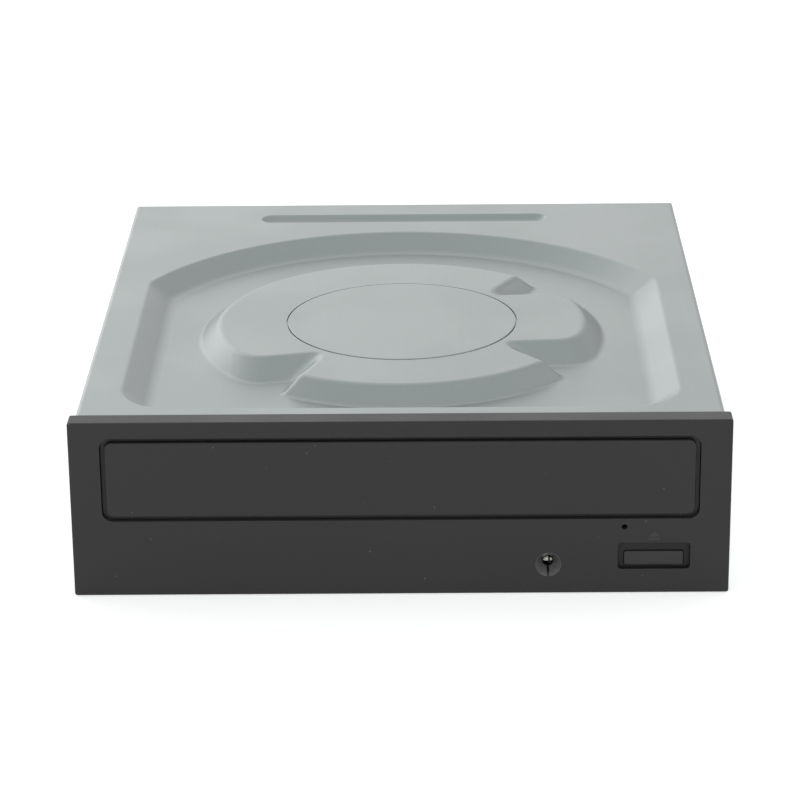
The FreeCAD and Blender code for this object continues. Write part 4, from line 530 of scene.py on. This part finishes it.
def make_lamp_frame():
    low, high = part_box("activity_led")
    middle = (low + high) / 2
    front = low.y + 0.75 * MM
    back = high.y - 0.2 * MM

    def block(form, x0, x1, y0, y1, half):
        near = (middle.x + x0 * MM, y0, middle.z - half * MM)
        far = (middle.x + x1 * MM, y1, middle.z + half * MM)
        add_block(form, near, far)

    posts = bmesh.new()
    block(posts, -0.90, -0.55, front, back, 0.3)
    block(posts, 0.45, 0.90, front, back, 0.3)
    block(posts, -0.56, 0.05, front + 0.3 * MM, front + 0.7 * MM, 0.35)
    cup = bmesh.new()
    block(cup, -0.45, -0.05, front + 0.05 * MM, front + 0.29 * MM, 0.2)
    for name, form, slot in (("lamp_posts", posts, "tinned_metal"), ("lamp_chip", cup, "can_aluminium")):
        bmesh.ops.bevel(form, geom=form.edges[:], offset=0.04 * MM, segments=2, affect="EDGES")
        add_piece(name, mesh_from(name, form), slot, "case")


make_lamp_frame()


# Polished collar round the lamp, open where the bezel has its slot
def make_lamp_collar():
    middle = sum(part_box("activity_led"), Vector()) / 2
    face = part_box("front_bezel")[0].y
    mouth, throat, depth = 2.88 * MM, 1.36 * MM, 2.3 * MM
    wall, slot_half, sunk = 0.07 * MM, 0.26 * MM, 0.06 * MM
    rings, around = 6, 48
    form = bmesh.new()

    def layer(inset):
        rows = []
        for k in range(rings + 1):
            share = k / rings
            radius = mouth + (throat - mouth) * share - inset
            y = face + sunk + depth * share
            gap = math.asin(slot_half / (radius + inset))
            row = []
            for n in range(around + 1):
                turn = -math.pi / 2 + gap + (2 * math.pi - 2 * gap) * n / around
                spot = (middle.x + radius * math.cos(turn), y, middle.z + radius * math.sin(turn))
                row.append(form.verts.new(spot))
            rows.append(row)
        return rows

    outside, inside = layer(0.0), layer(wall)
    for rows in (outside, inside):
        for a, b in zip(rows, rows[1:]):
            for n in range(around):
                form.faces.new((a[n], a[n + 1], b[n + 1], b[n]))
    for k in (0, rings):
        for n in range(around):
            form.faces.new((outside[k][n], outside[k][n + 1], inside[k][n + 1], inside[k][n]))
    for n in (0, around):
        for k in range(rings):
            form.faces.new((outside[k][n], outside[k + 1][n], inside[k + 1][n], inside[k][n]))
    mesh = mesh_from("lamp_collar", form)
    smooth(mesh, 40)
    add_piece("lamp_collar", mesh, "dark_plastic", "case", COLLAR_PAINTED_LIGHT_FINISH)


make_lamp_collar()


# Lead screw with its thread
def make_threaded_screw():
    low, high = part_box("lead_screw")
    x = (low.x + high.x) / 2
    z = (low.z + high.z) / 2
    crest = (high.x - low.x) / 2
    pitch = 3.0 * MM
    starts = 3
    root = crest - 0.35 * MM
    journal = 0.8 * MM
    tip = 0.8 * journal
    chamfer, runout, step = 0.2 * MM, 0.3 * MM, 0.12 * MM
    thread_start = low.y + 8.1 * MM
    thread_end = high.y - 2.1 * MM
    around = 36
    form = bmesh.new()
    rings = []

    def ring(y, radius_at):
        made = []
        for k in range(around):
            turn = 2 * math.pi * k / around
            radius = radius_at(turn)
            made.append(form.verts.new((x + radius * math.cos(turn), y, z + radius * math.sin(turn))))
        rings.append(made)

    def thread(y):
        def radius_at(turn):
            phase = ((y - thread_start) / pitch + turn / (2 * math.pi)) * starts
            tooth = abs((phase % 1.0) - 0.5) * 2
            return root + (crest - root) * min(1.0, max(0.0, tooth * 1.6 - 0.3))
        return radius_at

    ring(low.y, lambda turn: tip)
    ring(low.y + chamfer, lambda turn: journal)
    ring(thread_start - runout, lambda turn: journal)
    steps = int((thread_end - thread_start) / step)
    for k in range(steps + 1):
        y = thread_start + (thread_end - thread_start) * k / steps
        ring(y, thread(y))
    ring(thread_end + runout, lambda turn: journal)
    ring(high.y - chamfer, lambda turn: journal)
    ring(high.y, lambda turn: tip)
    for a, b in zip(rings, rings[1:]):
        for k in range(around):
            form.faces.new((a[k], a[(k + 1) % around], b[(k + 1) % around], b[k]))
    form.faces.new(list(reversed(rings[0])))
    form.faces.new(rings[-1])
    mesh = mesh_from("threaded_screw", form)
    smooth(mesh, 50)
    piece = add_piece("threaded_screw", mesh, slot_of("lead_screw"), "lead_screw")
    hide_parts("lead_screw")


make_threaded_screw()


# Screws with a cross recess in each head
def loose_boxes(mesh):
    # The box of each separate solid of a mesh, in a fixed order.
    form = bmesh.new()
    form.from_mesh(mesh)
    bmesh.ops.remove_doubles(form, verts=form.verts, dist=1e-7)
    unseen = set(form.verts)
    boxes = []
    while unseen:
        front = [unseen.pop()]
        members = []
        while front:
            vert = front.pop()
            members.append(vert.co.copy())
            for edge in vert.link_edges:
                other = edge.other_vert(vert)
                if other in unseen:
                    unseen.remove(other)
                    front.append(other)
        low = Vector([min(c[k] for c in members) for k in range(3)])
        high = Vector([max(c[k] for c in members) for k in range(3)])
        boxes.append((low, high))
    form.free()
    return sorted(boxes, key=lambda box: tuple(box[0]))


def cross_recess(spot, way, arm, width, depth):
    # Two crossing tapered bars, the tool shape for one head; way is the head's outward direction.
    form = bmesh.new()
    for turn in (0.0, math.pi / 2):
        verts = []
        for level, share in ((depth * 0.6, 1.25), (-depth, 0.35)):
            for u, v in ((-1, -1), (1, -1), (1, 1), (-1, 1)):
                p = Vector((u * arm * share, v * width * (0.5 + 0.5 * share), level * way))
                p.rotate(Matrix.Rotation(turn, 3, "Z"))
                verts.append(form.verts.new(spot + p))
        low, high = verts[:4], verts[4:]
        form.faces.new(low)
        form.faces.new(high)
        for k in range(4):
            form.faces.new((low[k], low[(k + 1) % 4], high[(k + 1) % 4], high[k]))
    return form


def make_cross_screws(node, way, arm, depth):
    cutter_form = bmesh.new()
    for low, high in loose_boxes(nodes[node].data):
        spot = Vector(((low.x + high.x) / 2, (low.y + high.y) / 2, high.z if way > 0 else low.z))
        part = mesh_from("recess", cross_recess(spot, way, arm, 0.22 * arm, depth))
        cutter_form.from_mesh(part)
        bpy.data.meshes.remove(part)
    cutter_mesh = bpy.data.meshes.new("cutter")
    cutter_form.to_mesh(cutter_mesh)
    cutter_form.free()
    cutter = bpy.data.objects.new("cutter", cutter_mesh)
    scene.collection.objects.link(cutter)
    blank = bpy.data.objects.new("blank", nodes[node].data.copy())
    scene.collection.objects.link(blank)
    cut = blank.modifiers.new("recess", "BOOLEAN")
    cut.operation = "DIFFERENCE"
    cut.solver = "EXACT"
    cut.use_self = True
    cut.object = cutter
    bpy.context.view_layer.update()
    ready = blank.evaluated_get(bpy.context.evaluated_depsgraph_get())
    mesh = bpy.data.meshes.new_from_object(ready)
    mesh.name = node + "_crossed"
    bpy.data.objects.remove(blank)
    bpy.data.objects.remove(cutter)
    piece = add_piece(node + "_crossed", mesh, slot_of(node), body_of(node))
    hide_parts(node)


make_cross_screws("case_screws", -1, 1.5 * MM, 0.8 * MM)
make_cross_screws("board_screws", 1, 1.25 * MM, 0.7 * MM)
make_cross_screws("damper_screws", 1, 1.7 * MM, 0.8 * MM)
make_cross_screws("motor_screws", 1, 1.0 * MM, 0.3 * MM)
make_cross_screws("spindle_screws", 1, 0.9 * MM, 0.45 * MM)


# Pickup cable: a flat ribbon folded back in a half loop, from the socket's end to the end under the sled.
def make_pickup_ribbon():
    low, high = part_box("pickup_flex")
    thick = 0.2 * MM
    radius = (high.z - low.z - thick) / 2
    bottom, top = low.z + thick / 2, high.z - thick / 2
    turn = low.y + radius + thick / 2
    upper_end = turn + 6.5 * MM
    leg_steps, arc_steps, lanes = 12, 24, 16
    path = []
    for k in range(leg_steps):
        path.append((high.y + (turn - high.y) * k / leg_steps, bottom, 0.0))
    for k in range(arc_steps):
        angle = math.pi * k / arc_steps
        path.append((turn - radius * math.sin(angle), (bottom + top) / 2 - radius * math.cos(angle), angle))
    for k in range(leg_steps + 1):
        path.append((turn + (upper_end - turn) * k / leg_steps, top, math.pi))
    form = bmesh.new()
    rows = []
    for y, z, angle in path:
        out_y, out_z = -math.sin(angle) * thick / 2, -math.cos(angle) * thick / 2
        row = []
        for side in (1, -1):
            across = range(lanes + 1) if side > 0 else range(lanes, -1, -1)
            for n in across:
                x = low.x + (high.x - low.x) * n / lanes
                row.append(form.verts.new((x, y + side * out_y, z + side * out_z)))
        rows.append(row)
    count = len(rows[0])
    for a, b in zip(rows, rows[1:]):
        for k in range(count):
            form.faces.new((a[k], a[(k + 1) % count], b[(k + 1) % count], b[k]))
    for row in (rows[0], rows[-1]):
        for n in range(lanes):
            form.faces.new((row[n], row[n + 1], row[count - 2 - n], row[count - 1 - n]))
    mesh = mesh_from("pickup_ribbon", form)
    smooth(mesh, 40)
    piece = new_piece("pickup_ribbon", mesh, "flex_film")
    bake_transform(piece)
    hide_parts("pickup_flex")


make_pickup_ribbon()


# Camera at the photograph's angle
def make_camera():
    camera = bpy.data.cameras.new("camera")
    camera.sensor_width = 36.0
    camera.lens = 137.93
    camera.clip_start = 0.01
    camera.clip_end = 50.0
    holder = bpy.data.objects.new("camera", camera)
    scene.collection.objects.link(holder)
    holder.location = (0.0072165, -0.7178701, 0.2886378)
    holder.rotation_euler = (math.radians(69.18747), math.radians(0.54414), math.radians(0.43202))
    scene.camera = holder


# Studio: pale floor, one soft lamp, and a surround that is brightest behind the drive on the left
def make_floor():
    mesh = bpy.data.meshes.new("floor")
    reach = 4.0
    level = -0.0001
    corners = [(reach * x, reach * y, level) for x, y in ((-1, -1), (1, -1), (1, 1), (-1, 1))]
    mesh.from_pydata(corners, [], [(0, 1, 2, 3)])
    floor = bpy.data.objects.new("floor", mesh)
    scene.collection.objects.link(floor)
    finish, tree, shader = new_finish("floor_paper", Roughness=0.9, Specular_IOR_Level=0.1,
                                      Emission_Color=(1, 1, 1, 1))
    paper = noise(tree, place_on_piece(tree), 40.0, 3.0)
    tree.links.new(blend_colours(tree, paper, (0.84, 0.84, 0.84), (0.86, 0.86, 0.86)), shader["Base Color"])
    glow = maths(tree, "MULTIPLY", background_rays(tree, with_gloss=True), 0.5)
    tree.links.new(glow, shader["Emission Strength"])
    mesh.materials.append(finish)


def make_surround():
    world = bpy.data.worlds.new("surround")
    scene.world = world
    world.use_nodes = True
    tree = world.node_tree
    back = tree.nodes["Background"]
    way = put(tree, "ShaderNodeTexCoord").outputs["Generated"]
    split = put(tree, "ShaderNodeSeparateXYZ", {"Vector": way})
    side_limit, all_round, least = 0.38, 0.74, 0.2
    behind = maths(tree, "POWER", maths(tree, "MAXIMUM", split.outputs["Y"], 0.0), 2.0)
    across = maths(tree, "MINIMUM", maths(tree, "MAXIMUM", split.outputs["X"], -side_limit), side_limit)
    steeper = maths(tree, "MULTIPLY_ADD", maths(tree, "MULTIPLY", across, across), 6.5, 0.8)
    left = maths(tree, "SUBTRACT", 0.53, maths(tree, "MULTIPLY", across, steeper))
    ahead = maths(tree, "POWER", maths(tree, "MINIMUM", split.outputs["Y"], 0.0), 2.0)
    low_down = maths(tree, "SUBTRACT", 1.0, maths(tree, "POWER", split.outputs["Z"], 2.0))
    sideways = maths(tree, "MULTIPLY", maths(tree, "POWER", split.outputs["X"], 2.0), low_down)
    beside = maths(tree, "MULTIPLY", sideways, 0.62)
    level = maths(tree, "MULTIPLY_ADD", behind, left, all_round)
    level = maths(tree, "MULTIPLY_ADD", maths(tree, "ADD", ahead, beside), 0.36, level)
    level = maths(tree, "MAXIMUM", level, least)
    # Gloss shows the graded surround itself, which is as pale as the background.
    seen = background_rays(tree, with_gloss=False)
    unseen = maths(tree, "SUBTRACT", 1.0, seen)
    shown = maths(tree, "ADD", maths(tree, "MULTIPLY", level, unseen), seen)
    tree.links.new(shown, back.inputs["Strength"])
    overhead = maths(tree, "MULTIPLY", spread(tree, split.outputs["Z"], 0.4, 0.95), unseen)
    tree.links.new(blend_colours(tree, overhead, (1.0, 1.0, 1.0), (0.93, 1.0, 0.995)), back.inputs["Color"])


def make_lamp(name, spot, aim, size, watts):
    light = bpy.data.lights.new(name, "AREA")
    light.shape = "RECTANGLE"
    light.size, light.size_y = size
    light.energy = watts
    holder = bpy.data.objects.new(name, light)
    scene.collection.objects.link(holder)
    holder.location = spot
    holder.visible_camera = False
    holder.rotation_euler = (Vector(aim) - Vector(spot)).to_track_quat("-Z", "Y").to_euler()


make_camera()
make_floor()
make_surround()
make_lamp("key", (-1.3, 1.6, 0.6), (0, 0, 0.02), (1.0, 0.6), 0.4)
